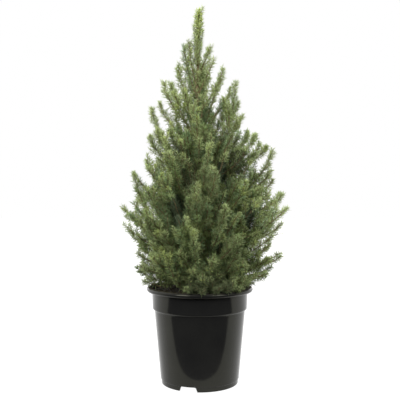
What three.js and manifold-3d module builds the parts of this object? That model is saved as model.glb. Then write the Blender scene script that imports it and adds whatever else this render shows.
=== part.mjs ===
// A potted dwarf spruce: a black nursery pot of soil, a trunk, ascending boughs and masses of needle shoots.
// Millimetres, +Z up. The origin is at the middle of the pot's underside, and the front of the plant faces -Y.

import * as THREE from "three";
import { mergeVertices } from "three/addons/utils/BufferGeometryUtils.js";
import Module from "manifold-3d";

const wasm = await Module();
wasm.setup();

const { degToRad, lerp } = THREE.MathUtils;

// Driving dimensions of the whole plant
const TOTAL_HEIGHT = 672;
const CLEARANCE = 0.3; // between neighbouring solids that meet

// Driving dimensions of the pot, a moulded container of 19 cm
const POT_HEIGHT = 171;
const LIP_RADIUS = 95;
const LIP_DEPTH = 13; // from the lip's top to where it meets the collar
const COLLAR_RADIUS = 85.6;
const COLLAR_HEIGHT = 21;
const SHOULDER_DEPTH = 7; // the rounded step under the collar
const BODY_TOP_RADIUS = 81;
const BODY_BOTTOM_RADIUS = 70;
const FOOT_RADIUS = 68.5;
const FOOT_HEIGHT = 9;
const FOOT_WALL = 3.5;
const POT_WALL = 2;
const POT_SIDES = 36;

// Drain notches through the foot
const NOTCH_COUNT = 3;
const NOTCH_TOP_WIDTH = 26;
const NOTCH_BOTTOM_WIDTH = 33;
const NOTCH_HEIGHT = 8.7;
const FIRST_NOTCH_TURN = degToRad(-107);

// Soil, a little below the lip
const SOIL_TOP = 160;
const SOIL_EDGE_DROP = 3;

// Trunk, from the soil to where the leading shoot begins
const TRUNK_FOOT = SOIL_TOP + CLEARANCE;
const TRUNK_TOP = 566;
const TRUNK_FOOT_RADIUS = 8.2;
const TRUNK_TOP_RADIUS = 2.7;
const TRUNK_BOW = -4.5; // sideways, greatest near the top
const ROOT_FLARE = 4.6; // how far the roots spread beyond the trunk
const ROOT_FLARE_HEIGHT = 9;
const ROOT_LOBES = 4;

// Crown: a cone above its widest height, drawn in below it
const WIDEST_HEIGHT = 310;
const WIDEST_RADIUS = 150;
const LOWEST_TIP = 190;
const LOWEST_RADIUS = 112;

// Limbs leave the trunk below their tips, the lowest ones nearly level and the highest ones steeply
const LOWEST_LIMB_ROOT = 177;
const HIGHEST_LIMB_ROOT = 506;
const HIGHEST_TIP = 574;
const CLIMB_POWER = 1.55;
const LEADER_REACH = 30; // of the shoots round the leading one
const BEND_OUT = 0.62; // where the bough turns upwards, as shares of its reach and rise
const BEND_UP = 0.22;
const BOUGH_SHARE = 0.36; // of the limb's length, the rest is the stem of its mass
const HIGHEST_BOUGH_TIP = 374; // limbs above are stems that grow from the trunk itself
const BOUGH_ROOT_RADIUS = 3.3;
const BOUGH_TIP_RADIUS = 2.4;
const LIMB_ROOM = 0.9; // kept free round each limb

// Limbs that make the outline seen from the front: tip height, sideways reach and depth towards the back
const OUTLINE_LIMBS = [
  { height: 194, side: 119, depth: -62 },
  { height: 232, side: 150, depth: 8 },
  { height: 313, side: 151, depth: -50 },
  { height: 343, side: 152, depth: 22 },
  { height: 421, side: 130, depth: 15 },
  { height: 433, side: 100, depth: -32 },
  { height: 543, side: 65, depth: 0 },
  { height: 564, side: 42, depth: -14 },
  { height: 213, side: -110, depth: -30 },
  { height: 288, side: -138, depth: -28 },
  { height: 317, side: -148, depth: 40 },
  { height: 378, side: -120, depth: 0 },
  { height: 405, side: -104, depth: 34 },
  { height: 431, side: -90, depth: -36 },
  { height: 494, side: -87, depth: 5 },
  { height: 538, side: -67, depth: -10 },
  { height: 574, side: -40, depth: 8 },
];

// Limbs that fill the front and the back of the crown, dealt out by turns of the golden angle
const FILL_LIMBS = 19;
const FILL_ATTEMPTS = 8; // turns tried for each
const FILL_LOW = 196;
const FILL_HIGH = 520;
const FILL_REACH = 0.97; // of the crown's radius
const FILL_START = 0.52;
const FILL_SPREAD = degToRad(58); // each way from straight ahead or straight back
const GOLDEN_SHARE = (Math.sqrt(5) - 1) / 2;
const GOLDEN_ANGLE = 2 * Math.PI * (1 - GOLDEN_SHARE);

// Shoots: a twig, each face of which is drawn out into one needle that stands for a spray
const NEEDLE_LENGTH = 14;
const NEEDLE_LEAN = degToRad(48); // from the shoot's own direction
const SHOOT_TWIST = degToRad(34); // from one ring of needles to the next
const SHOOT_SIDES = 3;
const SHOOT_RADIUS = 2.4;
const SHOOT_RING_LENGTH = 18;

// Masses: a swollen shoot along the limb's outer stretch, with side shoots round it
const STEM_RADIUS = 2.4;
const CORE_SIDES = 4;
const CORE_RING_LENGTH = 16;
const CORE_GROWTH = 0.085; // of the limb's reach, how far a core swells
const CORE_SWELL = 11; // at most
const FULLNESS = [1, 0.8, 0.6, 0.4, 0.2, 0]; // tried in turn, where neighbours stand close
const SIDE_SHOOTS = 6; // tried on each core, and skipped where there is no room
const SIDE_SHOOT_LEAN = degToRad(50);
const SIDE_SHOOT_BASE = 26; // shortest length, and its growth with the limb's reach
const SIDE_SHOOT_GROWTH = 0.18;
const TURN_UP = 0.5; // how strongly the ends of side shoots turn to the light
const SHOOT_ROOM = 0.7; // kept free round each core and shoot
const CROWN_EDGE = 5; // how far inside the crown's edge a side shoot ends
const LOWEST_SHOOT = 168;

// Materials
const MATERIALS = {
  pot: new THREE.MeshStandardMaterial({ color: 0x1f1f1e, roughness: 0.35, metalness: 0 }),
  soil: new THREE.MeshStandardMaterial({ color: 0x3a2f22, roughness: 1, metalness: 0 }),
  bark: new THREE.MeshStandardMaterial({ color: 0x7a6248, roughness: 0.9, metalness: 0 }),
  needles: new THREE.MeshStandardMaterial({ color: 0x66794a, roughness: 0.7, metalness: 0 }),
};

// The same repeatable number between 0 and 1 for the same two whole numbers
function chance(which, draw) {
  const wave = Math.sin(which * 12.9898 + draw * 78.233) * 43758.5453;
  return wave - Math.floor(wave);
}

// A closed geometry as a solid that can be cut and joined
function solidOf(geometry) {
  const bare = geometry.clone();
  bare.deleteAttribute("normal");
  bare.deleteAttribute("uv");
  const merged = mergeVertices(bare, 1e-4);
  return new wasm.Manifold(
    new wasm.Mesh({
      numProp: 3,
      vertProperties: new Float32Array(merged.getAttribute("position").array),
      triVerts: new Uint32Array(merged.index.array),
    }),
  );
}

// A solid as a geometry, without the loose scraps that a cut can leave
function geometryOf(solid) {
  const largest = solid.decompose().reduce((a, b) => (a.volume() > b.volume() ? a : b));
  const made = largest.getMesh();
  const geometry = new THREE.BufferGeometry();
  geometry.setAttribute("position", new THREE.BufferAttribute(made.vertProperties, 3));
  geometry.setIndex(new THREE.BufferAttribute(made.triVerts, 1));
  geometry.computeVertexNormals();
  return geometry;
}

const plant = new THREE.Group();

// Names a solid, adds it to the plant and keeps it as space that is taken
const taken = [];
function addPart(name, material, solid) {
  const mesh = new THREE.Mesh(geometryOf(solid), material.clone());
  mesh.name = name;
  plant.add(mesh);
  taken.push({ owner: name, solid });
}

// A profile of [radius, height] pairs, turned round the upright axis
function turned(profile, sides) {
  const points = profile.map(([radius, height]) => new THREE.Vector2(radius, height));
  return solidOf(new THREE.LatheGeometry(points, sides).rotateX(Math.PI / 2));
}

// Points of a profile along an arc, between two angles in degrees
function arcPoints(middle, radius, from, to, steps = 3) {
  return Array.from({ length: steps + 1 }, (_, i) => {
    const angle = degToRad(lerp(from, to, i / steps));
    return [middle[0] + radius * Math.cos(angle), middle[1] + radius * Math.sin(angle)];
  });
}

// The pot: foot, tapered body, shoulder, collar and rolled lip, with a floor raised on the foot
const FLOOR_TOP = FOOT_HEIGHT + POT_WALL;
const COLLAR_TOP = POT_HEIGHT - LIP_DEPTH;
const COLLAR_BOTTOM = COLLAR_TOP - COLLAR_HEIGHT;
const BODY_TOP = COLLAR_BOTTOM - SHOULDER_DEPTH;
const LIP_ROUND = 4;
const INNER_WALL = [
  [BODY_BOTTOM_RADIUS - POT_WALL, FLOOR_TOP],
  [BODY_TOP_RADIUS - POT_WALL, BODY_TOP],
  [COLLAR_RADIUS - POT_WALL, COLLAR_TOP],
];

function potSolid() {
  const outside = [
    [0, FOOT_HEIGHT],
    [FOOT_RADIUS - FOOT_WALL, FOOT_HEIGHT],
    [FOOT_RADIUS - FOOT_WALL, 0],
    [FOOT_RADIUS - 0.8, 0],
    [FOOT_RADIUS, 0.8],
    [FOOT_RADIUS + 0.3, FOOT_HEIGHT - 1.6],
    [BODY_BOTTOM_RADIUS, FOOT_HEIGHT],
    [BODY_TOP_RADIUS, BODY_TOP],
    [COLLAR_RADIUS - 2, BODY_TOP + 2.6],
    [COLLAR_RADIUS - 1, COLLAR_BOTTOM],
    [COLLAR_RADIUS, COLLAR_TOP],
  ];
  const lip = arcPoints([LIP_RADIUS - LIP_ROUND, POT_HEIGHT - LIP_ROUND], LIP_ROUND, -38, 90);
  const inside = [
    [LIP_RADIUS - LIP_ROUND - 2, POT_HEIGHT],
    [COLLAR_RADIUS + 0.6, POT_HEIGHT - 2.4],
    ...INNER_WALL.toReversed(),
    [0, FLOOR_TOP],
  ];
  let pot = turned([...outside, ...lip, ...inside], POT_SIDES);
  for (let i = 0; i < NOTCH_COUNT; i++) {
    pot = pot.subtract(notchSolid(FIRST_NOTCH_TURN + (i * 2 * Math.PI) / NOTCH_COUNT));
  }
  return pot;
}

// The block that cuts one drain notch, wider at the ground than at its top
function notchSolid(turn) {
  const depth = 3 * FOOT_WALL;
  const outline = new THREE.Shape();
  outline.moveTo(-NOTCH_BOTTOM_WIDTH / 2, -1);
  outline.lineTo(NOTCH_BOTTOM_WIDTH / 2, -1);
  outline.lineTo(NOTCH_TOP_WIDTH / 2, NOTCH_HEIGHT);
  outline.lineTo(-NOTCH_TOP_WIDTH / 2, NOTCH_HEIGHT);
  const block = new THREE.ExtrudeGeometry(outline, { depth, bevelEnabled: false });
  block.rotateX(Math.PI / 2);
  block.translate(0, FOOT_RADIUS + FOOT_WALL, 0);
  block.rotateZ(turn - Math.PI / 2);
  return solidOf(block);
}

// The soil fills the pot, and its surface falls a little towards the wall
function soilSolid() {
  const gap = 1.5 * CLEARANCE;
  const wall = INNER_WALL.map(([radius, height]) => [radius - gap, height]);
  const [, bodyTop, collarTop] = wall;
  const edge = SOIL_TOP - SOIL_EDGE_DROP;
  const edgeShare = (edge - bodyTop[1]) / (collarTop[1] - bodyTop[1]);
  return turned(
    [
      [0, FLOOR_TOP + CLEARANCE],
      [BODY_BOTTOM_RADIUS - POT_WALL - gap, FLOOR_TOP + CLEARANCE],
      bodyTop,
      [lerp(bodyTop[0], collarTop[0], edgeShare), edge],
      [2.2 * TRUNK_FOOT_RADIUS, SOIL_TOP],
      [0, SOIL_TOP],
    ],
    POT_SIDES,
  );
}

// Where the trunk's middle is at a height: upright, with a slight bow to the left
function trunkMiddle(height) {
  const share = (height - TRUNK_FOOT) / (TOTAL_HEIGHT - TRUNK_FOOT);
  return new THREE.Vector3(TRUNK_BOW * Math.sin(Math.PI * share ** 1.6), 0, height);
}

function trunkRadius(height) {
  const share = (height - TRUNK_FOOT) / (TRUNK_TOP - TRUNK_FOOT);
  return lerp(TRUNK_FOOT_RADIUS, TRUNK_TOP_RADIUS, share ** 0.85);
}

// The trunk, bent from an upright cylinder, with its roots' flare at the soil
function trunkSolid(grow = 0) {
  const length = TRUNK_TOP - TRUNK_FOOT;
  const column = new THREE.CylinderGeometry(1, 1, 1, 10, 16);
  column.rotateX(Math.PI / 2).translate(0, 0, 0.5);
  const place = column.getAttribute("position");
  for (let i = 0; i < place.count; i++) {
    const share = place.getZ(i) ** 1.5; // rings stand closer together at the flare
    const height = TRUNK_FOOT + share * length;
    const turn = Math.atan2(place.getY(i), place.getX(i));
    const spread = Math.hypot(place.getX(i), place.getY(i));
    const lobe = 0.65 + 0.35 * Math.cos(ROOT_LOBES * turn + 0.6);
    const flare = ROOT_FLARE * lobe * Math.exp((TRUNK_FOOT - height) / ROOT_FLARE_HEIGHT);
    const radius = spread * (trunkRadius(height) + flare + grow);
    const middle = trunkMiddle(height);
    place.setXYZ(i, middle.x + radius * Math.cos(turn), middle.y + radius * Math.sin(turn), height);
  }
  return solidOf(column);
}

const trunkRoom = trunkSolid(CLEARANCE);

// How far the crown reaches at a height
function crownRadius(height) {
  if (height > WIDEST_HEIGHT) {
    return (WIDEST_RADIUS * (TOTAL_HEIGHT - height)) / (TOTAL_HEIGHT - WIDEST_HEIGHT);
  }
  return lerp(LOWEST_RADIUS, WIDEST_RADIUS, (height - LOWEST_TIP) / (WIDEST_HEIGHT - LOWEST_TIP));
}

// The tip of a limb that fills the crown, in front for even numbers and behind for odd ones
function fillTip(index, attempt) {
  const pair = Math.floor(index / 2);
  const height = lerp(FILL_LOW, FILL_HIGH, index / (FILL_LIMBS - 1));
  const facing = index % 2 ? Math.PI / 2 : -Math.PI / 2;
  const golden = ((pair + FILL_LIMBS * attempt) * GOLDEN_SHARE + FILL_START) % 1;
  const turn = facing + FILL_SPREAD * (2 * golden - 1);
  const reach = FILL_REACH * crownRadius(height);
  return new THREE.Vector3(reach * Math.cos(turn), reach * Math.sin(turn), height);
}

// A limb's curve, from the trunk's middle to its tip, turning upwards on the way
function limbCurve(tip) {
  const share = (tip.z - LOWEST_TIP) / (HIGHEST_TIP - LOWEST_TIP);
  const root = trunkMiddle(lerp(LOWEST_LIMB_ROOT, HIGHEST_LIMB_ROOT, share ** CLIMB_POWER));
  const bend = new THREE.Vector3(
    lerp(root.x, tip.x, BEND_OUT),
    lerp(root.y, tip.y, BEND_OUT),
    lerp(root.z, tip.z, BEND_UP),
  );
  return new THREE.QuadraticBezierCurve3(root, bend, tip);
}

// The stretch of a quadratic curve between two of its parameters
function stretch(curve, from, to) {
  const early = curve.v0.clone().lerp(curve.v1, from);
  const late = curve.v1.clone().lerp(curve.v2, from);
  return new THREE.QuadraticBezierCurve3(curve.getPoint(from), early.lerp(late, to), curve.getPoint(to));
}

// A cylinder bent along a curve, with a radius that changes on the way
function rodSolid(curve, radiusAt, sides, steps) {
  const frames = curve.computeFrenetFrames(steps, false);
  const rod = new THREE.CylinderGeometry(1, 1, 1, sides, steps).translate(0, 0.5, 0);
  const place = rod.getAttribute("position");
  for (let i = 0; i < place.count; i++) {
    const share = place.getY(i);
    const step = Math.round(share * steps);
    const radius = radiusAt(share);
    const point = curve
      .getPointAt(share)
      .addScaledVector(frames.normals[step], -radius * place.getX(i))
      .addScaledVector(frames.binormals[step], radius * place.getZ(i));
    place.setXYZ(i, point.x, point.y, point.z);
  }
  return solidOf(rod);
}

// A bough tapers to where its mass begins
function boughSolid(curve) {
  return rodSolid(curve, (share) => lerp(BOUGH_ROOT_RADIUS, BOUGH_TIP_RADIUS, share), 5, 3);
}

// A shoot along a curve: the faces of its twig become needles that lean towards the tip, and the twig ends
// in a point
function shootSolid(curve, { radiusAt, needleAt, sides, ringLength }, grow = 0) {
  const twigShare = 0.93;
  const rings = Math.max(2, Math.round(curve.getLength() / ringLength));
  const frames = curve.computeFrenetFrames(rings, false);
  const around = (ring, side) => {
    const turn = (2 * Math.PI * side) / sides + SHOOT_TWIST * ring;
    return new THREE.Vector3()
      .addScaledVector(frames.normals[ring], Math.cos(turn))
      .addScaledVector(frames.binormals[ring], Math.sin(turn));
  };
  const corner = (ring, side) => {
    const share = ring / rings;
    const middle = curve.getPointAt(share * twigShare);
    return middle.addScaledVector(around(ring, side), radiusAt(share) + grow);
  };
  const triangles = [];
  for (let ring = 0; ring < rings; ring++) {
    const share = (ring + 0.5) / rings;
    const length = needleAt(share) + grow;
    for (let side = 0; side < sides; side++) {
      const quad = [
        corner(ring, side),
        corner(ring, side + 1),
        corner(ring + 1, side + 1),
        corner(ring + 1, side),
      ];
      const apex = curve
        .getPointAt(share * twigShare)
        .addScaledVector(frames.tangents[ring], length * Math.cos(NEEDLE_LEAN))
        .addScaledVector(around(ring, side + 0.5), radiusAt(share) + length * Math.sin(NEEDLE_LEAN));
      quad.forEach((point, i) => triangles.push(point, quad[(i + 1) % 4], apex));
    }
  }
  const tip = curve.getPoint(1).addScaledVector(frames.tangents[rings], grow);
  for (let side = 0; side < sides; side++) {
    triangles.push(corner(rings, side), corner(rings, side + 1), tip);
  }
  for (let side = 1; side < sides - 1; side++) {
    triangles.push(corner(0, 0), corner(0, side + 1), corner(0, side));
  }
  return solidOf(new THREE.BufferGeometry().setFromPoints(triangles));
}

// A mass's core: the limb's own shoot, swollen where the inner shoots stand too close to be told apart.
// Its needles are short at its root, and all over where it has little room
function coreSolid({ core, swell }, fullness, grow = 0) {
  const shoot = {
    radiusAt: (share) => {
      const swelling = Math.sin(Math.PI * Math.min(1.1 * share, 1) ** 0.8);
      return STEM_RADIUS * lerp(1, 0.4, share) + fullness * swell * swelling;
    },
    needleAt: (share) => {
      const length = NEEDLE_LENGTH * lerp(0.15, 1, fullness);
      return length * Math.min(0.2 + 2.4 * share, 1.7 - share);
    },
    sides: CORE_SIDES,
    ringLength: CORE_RING_LENGTH,
  };
  return shootSolid(core, shoot, grow).subtract(trunkRoom);
}

function sideShootSolid(curve, grow = 0) {
  const shoot = {
    radiusAt: (share) => SHOOT_RADIUS * lerp(1, 0.45, share),
    needleAt: (share) => NEEDLE_LENGTH * lerp(1, 0.75, share),
    sides: SHOOT_SIDES,
    ringLength: SHOOT_RING_LENGTH,
  };
  return shootSolid(curve, shoot, grow);
}

// A side shoot's curve: out of the core by the golden angle, and then up to the light
function sideShootCurve({ core, swell, reach, limb }, index) {
  const share = lerp(0.14, 0.9, (index + 0.6 * chance(limb, index)) / SIDE_SHOOTS);
  const frames = core.computeFrenetFrames(SIDE_SHOOTS, false);
  const step = Math.round(share * SIDE_SHOOTS);
  const turn = GOLDEN_ANGLE * index + 2 * Math.PI * chance(limb, 50);
  const full = SIDE_SHOOT_BASE + SIDE_SHOOT_GROWTH * reach;
  const length = full * lerp(1, 0.75, share) * lerp(0.85, 1.15, chance(limb, index + 20));
  const outward = new THREE.Vector3()
    .addScaledVector(frames.normals[step], Math.cos(turn))
    .addScaledVector(frames.binormals[step], Math.sin(turn));
  const aim = frames.tangents[step]
    .clone()
    .multiplyScalar(Math.cos(SIDE_SHOOT_LEAN))
    .addScaledVector(outward, Math.sin(SIDE_SHOOT_LEAN));
  const start = core.getPointAt(share).addScaledVector(outward, 0.45 * swell * Math.sin(Math.PI * share));
  const bend = start.clone().addScaledVector(aim, 0.55 * length);
  const end = aim.clone().add(new THREE.Vector3(0, 0, TURN_UP)).setLength(0.5 * length).add(bend);
  return new THREE.QuadraticBezierCurve3(start, bend, end);
}

// True where a side shoot's end keeps inside the crown, or well inside the reach of its own limb
function keepsToCrown({ reach }, end) {
  const room = Math.max(crownRadius(end.z), reach) - CROWN_EDGE;
  return Math.hypot(end.x, end.y) < room && end.z > LOWEST_SHOOT;
}

// True where a solid would meet no part but those of its own limb
function hasRoom(solid, own) {
  return taken.every((other) => own.includes(other.owner) || solid.intersect(other.solid).isEmpty());
}

addPart("pot", MATERIALS.pot, potSolid());
addPart("soil", MATERIALS.soil, soilSolid());
addPart("trunk", MATERIALS.bark, trunkSolid());

// A limb is a bough, low in the crown, and its mass beyond it. True where no other limb stood in the way
const limbs = [];
const masses = [];
function addLimb(tip) {
  const curve = limbCurve(tip);
  const reach = Math.hypot(tip.x, tip.y);
  const hasBough = tip.z < HIGHEST_BOUGH_TIP;
  const thickness = LIMB_ROOM + (hasBough ? BOUGH_ROOT_RADIUS : STEM_RADIUS);
  const solid = rodSolid(curve, () => thickness, 5, 6).subtract(trunkRoom);
  if (limbs.some((other) => !solid.intersect(other).isEmpty())) {
    return false;
  }
  limbs.push(solid);
  const number = String(limbs.length).padStart(2, "0");
  taken.push({ owner: `foliage_${number}`, solid });
  if (hasBough) {
    const bough = boughSolid(stretch(curve, 0, BOUGH_SHARE)).subtract(trunkRoom);
    addPart(`bough_${number}`, MATERIALS.bark, bough);
  }
  const coreStart = hasBough ? BOUGH_SHARE + CLEARANCE / curve.getLength() : 0;
  masses.push({
    name: `foliage_${number}`,
    bough: `bough_${number}`,
    limb: limbs.length,
    reach,
    core: stretch(curve, coreStart, 1),
  });
  return true;
}

// The outline's limbs stand first, and each limb of the fill turns on until it has room
OUTLINE_LIMBS.forEach(({ height, side, depth }) => addLimb(new THREE.Vector3(side, depth, height)));
for (let index = 0; index < FILL_LIMBS; index++) {
  let attempt = 0;
  while (attempt < FILL_ATTEMPTS && !addLimb(fillTip(index, attempt))) {
    attempt++;
  }
}

// The leading shoot goes on from the trunk's top to the top of the plant
const leaderFoot = trunkMiddle(TRUNK_TOP + CLEARANCE);
const leaderTip = new THREE.Vector3(1.5, 0, TOTAL_HEIGHT);
const leaderBend = new THREE.Vector3(leaderFoot.x, 0, lerp(TRUNK_TOP, TOTAL_HEIGHT, 0.5));
masses.push({
  name: "foliage_leader",
  limb: 0,
  reach: LEADER_REACH,
  core: new THREE.QuadraticBezierCurve3(leaderFoot, leaderBend, leaderTip),
});

// Cores first, so that every mass has its own middle before shoots share out the room between them.
// A core swells only as far as its neighbours leave room
for (const mass of masses) {
  const own = [mass.name, mass.bough];
  mass.swell = Math.min(CORE_SWELL, CORE_GROWTH * mass.reach);
  const fullness = FULLNESS.find((share) => hasRoom(coreSolid(mass, share, SHOOT_ROOM), own));
  mass.solid = coreSolid(mass, fullness);
  taken.push({ owner: mass.name, solid: mass.solid });
}

// A shoot joins its mass where it meets no other limb
function addShoot(mass, curve) {
  if (hasRoom(sideShootSolid(curve, SHOOT_ROOM), [mass.name])) {
    const solid = sideShootSolid(curve);
    mass.solid = mass.solid.add(solid);
    taken.push({ owner: mass.name, solid });
  }
}

for (let index = 0; index < SIDE_SHOOTS; index++) {
  for (const mass of masses) {
    const curve = sideShootCurve(mass, index);
    if (keepsToCrown(mass, curve.v2)) {
      addShoot(mass, curve);
    }
  }
}
for (const mass of masses) {
  const mesh = new THREE.Mesh(geometryOf(mass.solid), MATERIALS.needles.clone());
  mesh.name = mass.name;
  plant.add(mesh);
}

export default plant;
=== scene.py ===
# %% [markdown]
# # A potted dwarf spruce
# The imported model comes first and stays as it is: it says where the pot, the soil, the trunk, the boughs and
# the masses of needles are. Everything made below is in metres in that same frame, with the ground at zero
# and the front of the plant towards -Y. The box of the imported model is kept, so that the finished plant can
# be held against it.

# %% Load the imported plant
import math
from collections import namedtuple

import bmesh
import bpy
import numpy as np
from mathutils import Matrix, Vector, noise


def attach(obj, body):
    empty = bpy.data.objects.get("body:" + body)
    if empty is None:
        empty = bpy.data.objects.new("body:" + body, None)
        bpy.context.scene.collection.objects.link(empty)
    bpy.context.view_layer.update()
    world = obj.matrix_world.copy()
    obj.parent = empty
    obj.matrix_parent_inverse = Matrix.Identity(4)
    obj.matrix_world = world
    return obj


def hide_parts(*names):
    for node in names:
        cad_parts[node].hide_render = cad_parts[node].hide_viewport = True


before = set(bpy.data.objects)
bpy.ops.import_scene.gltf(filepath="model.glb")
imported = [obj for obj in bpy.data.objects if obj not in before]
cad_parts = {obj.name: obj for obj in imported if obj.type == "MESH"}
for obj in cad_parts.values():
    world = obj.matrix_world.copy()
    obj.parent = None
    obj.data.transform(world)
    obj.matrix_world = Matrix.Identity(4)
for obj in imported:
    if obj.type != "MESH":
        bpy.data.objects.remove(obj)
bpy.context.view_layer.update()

scene = bpy.context.scene
MM = 0.001
print("packed nodes:", len(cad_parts))

# %% [markdown]
# ## The camera
# The photograph was taken from about half the plant's height, from about 1.15 m away, and almost level. A
# lens of 58 mm on a full frame gives the same size in the picture. Only the place, the tilt and the lens are
# set here.

# %% Camera at the photograph's viewing angle
CAMERA_PLACE = (0.0003, -1.1543, 0.3354)
CAMERA_TILT = math.radians(0.46)
CAMERA_LENS = 57.8
FULL_FRAME = 36
camera_data = bpy.data.cameras.new("camera")
camera_data.lens = CAMERA_LENS
camera_data.sensor_width = FULL_FRAME
camera = bpy.data.objects.new("camera", camera_data)
camera.location = CAMERA_PLACE
camera.rotation_euler = (math.pi / 2 - CAMERA_TILT, 0, 0)
scene.collection.objects.link(camera)
scene.camera = camera
scene.view_settings.view_transform = "Standard"
print("camera is", round(-1000 * CAMERA_PLACE[1]), "mm in front of the trunk")

# %% [markdown]
# ## The white table
# The plant stands on a white table. Its front edge is close to the pot, and the dark room beyond that edge
# is what draws the dark arch on the glossy pot. A grid of one cell is enough for a flat table, and light
# of its own keeps it as white as the wall behind it.

# %% White table
TABLE_FRONT = -0.106
TABLE_HALF = 4.0
TABLE_GREY = (0.08, 0.08, 0.08, 1)
WHITE = (1, 1, 1, 1)


def white_table():
    material = bpy.data.materials.new("white_table")
    material.use_nodes = True
    shader = material.node_tree.nodes["Principled BSDF"]
    shader.inputs["Base Color"].default_value = TABLE_GREY
    shader.inputs["Roughness"].default_value = 0.9
    shader.inputs["Emission Color"].default_value = WHITE
    shader.inputs["Emission Strength"].default_value = 1.0
    bm = bmesh.new()
    bmesh.ops.create_grid(bm, x_segments=1, y_segments=1, size=TABLE_HALF)
    bmesh.ops.translate(bm, verts=bm.verts, vec=(0, TABLE_FRONT + TABLE_HALF, 0))
    mesh = bpy.data.meshes.new("white_table")
    bm.to_mesh(mesh)
    bm.free()
    mesh.materials.append(material)
    table = bpy.data.objects.new("white_table", mesh)
    scene.collection.objects.link(table)


white_table()
print("table reaches", round(-1000 * TABLE_FRONT), "mm in front of the trunk")

# %% [markdown]
# ## Soft studio light
# The shades on the plant are soft, so the light comes from wide panels and from a bright room. The room is
# bright behind and beside the plant, dim in front of it and dark below the table's edge. The camera
# itself sees plain white.

# %% Studio room
ROOM_BACK = 1.7
ROOM_FRONT = 0.45
ROOM_BELOW = 0.02
FRONT_TO_BACK = (-0.7, 0.5)  # between these values of a direction's Y the room turns from dim to white
BELOW_TO_ABOVE = (-0.06, 0.1)  # the same for its Z, from dark to light


def map_range(nodes, limits):
    """A node that turns a value between two limits into one between To Min and To Max."""
    node = nodes.new("ShaderNodeMapRange")
    node.inputs["From Min"].default_value = limits[0]
    node.inputs["From Max"].default_value = limits[1]
    return node


def studio_room():
    world = bpy.data.worlds.new("studio_room")
    world.use_nodes = True
    scene.world = world
    nodes = world.node_tree.nodes
    links = world.node_tree.links
    nodes.clear()
    direction = nodes.new("ShaderNodeTexCoord")
    split = nodes.new("ShaderNodeSeparateXYZ")
    links.new(direction.outputs["Generated"], split.inputs[0])
    front_to_back = map_range(nodes, FRONT_TO_BACK)
    front_to_back.inputs["To Min"].default_value = ROOM_FRONT
    front_to_back.inputs["To Max"].default_value = ROOM_BACK
    links.new(split.outputs["Y"], front_to_back.inputs["Value"])
    below_to_above = map_range(nodes, BELOW_TO_ABOVE)
    below_to_above.inputs["To Min"].default_value = ROOM_BELOW
    links.new(split.outputs["Z"], below_to_above.inputs["Value"])
    links.new(front_to_back.outputs[0], below_to_above.inputs["To Max"])
    lighting = nodes.new("ShaderNodeBackground")
    lighting.inputs["Color"].default_value = WHITE
    links.new(below_to_above.outputs[0], lighting.inputs["Strength"])
    seen = nodes.new("ShaderNodeBackground")
    seen.inputs["Color"].default_value = WHITE
    ray = nodes.new("ShaderNodeLightPath")
    choose = nodes.new("ShaderNodeMixShader")
    links.new(ray.outputs["Is Camera Ray"], choose.inputs[0])
    links.new(lighting.outputs[0], choose.inputs[1])
    links.new(seen.outputs[0], choose.inputs[2])
    output = nodes.new("ShaderNodeOutputWorld")
    links.new(choose.outputs[0], output.inputs["Surface"])


studio_room()
print("room is", ROOM_BACK, "behind and", ROOM_FRONT, "in front")

# %% Light panels
CROWN_MIDDLE = Vector((0, 0, 0.4))


def light_panel(name, place, width, power):
    data = bpy.data.lights.new(name, "AREA")
    data.shape = "SQUARE"
    data.size = width
    data.energy = power
    panel = bpy.data.objects.new(name, data)
    panel.location = place
    panel.rotation_euler = (CROWN_MIDDLE - Vector(place)).to_track_quat("-Z", "Y").to_euler()
    scene.collection.objects.link(panel)


light_panel("panel_front_left", (-1.3, -1.7, 1.5), 1.2, 38)
light_panel("panel_front_right", (1.4, -1.6, 1.4), 1.2, 27)
light_panel("panel_above", (0.1, 0.2, 2.3), 1.6, 24)

# %% [markdown]
# ## Small helpers for pieces and finishes
# Each piece is a mesh that rides on the one body of the plant, takes its finish and hides the imported nodes
# it stands for. A finish is a Principled shader whose colour wanders between two tones, with a fine bump,
# because moulded plastic, bark and needles are never one flat colour. The pattern is read from Object
# coordinates, so it stays put.

# %% Making a piece
def make_piece(name, mesh, material, stands_for):
    mesh.materials.append(material)
    piece = bpy.data.objects.new(name, mesh)
    scene.collection.objects.link(piece)
    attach(piece, "root")
    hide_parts(*stands_for)
    mesh.calc_loop_triangles()
    print(name, "has", len(mesh.loop_triangles), "triangles")


def mesh_from_bmesh(name, bm, smooth_angle=None):
    mesh = bpy.data.meshes.new(name)
    bm.to_mesh(mesh)
    bm.free()
    if smooth_angle:
        mesh.shade_smooth()
        mesh.set_sharp_from_angle(angle=smooth_angle)
    return mesh


print("pieces will ride on the body root")


# %% Making a finish
def tone(red, green, blue):
    """A colour named by its screen values of 0 to 255, as the shader's linear colour."""
    screen = (red, green, blue)
    linear = [(c / 255 / 12.92) if c < 11 else ((c / 255 + 0.055) / 1.055) ** 2.4 for c in screen]
    return (*linear, 1)


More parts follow.
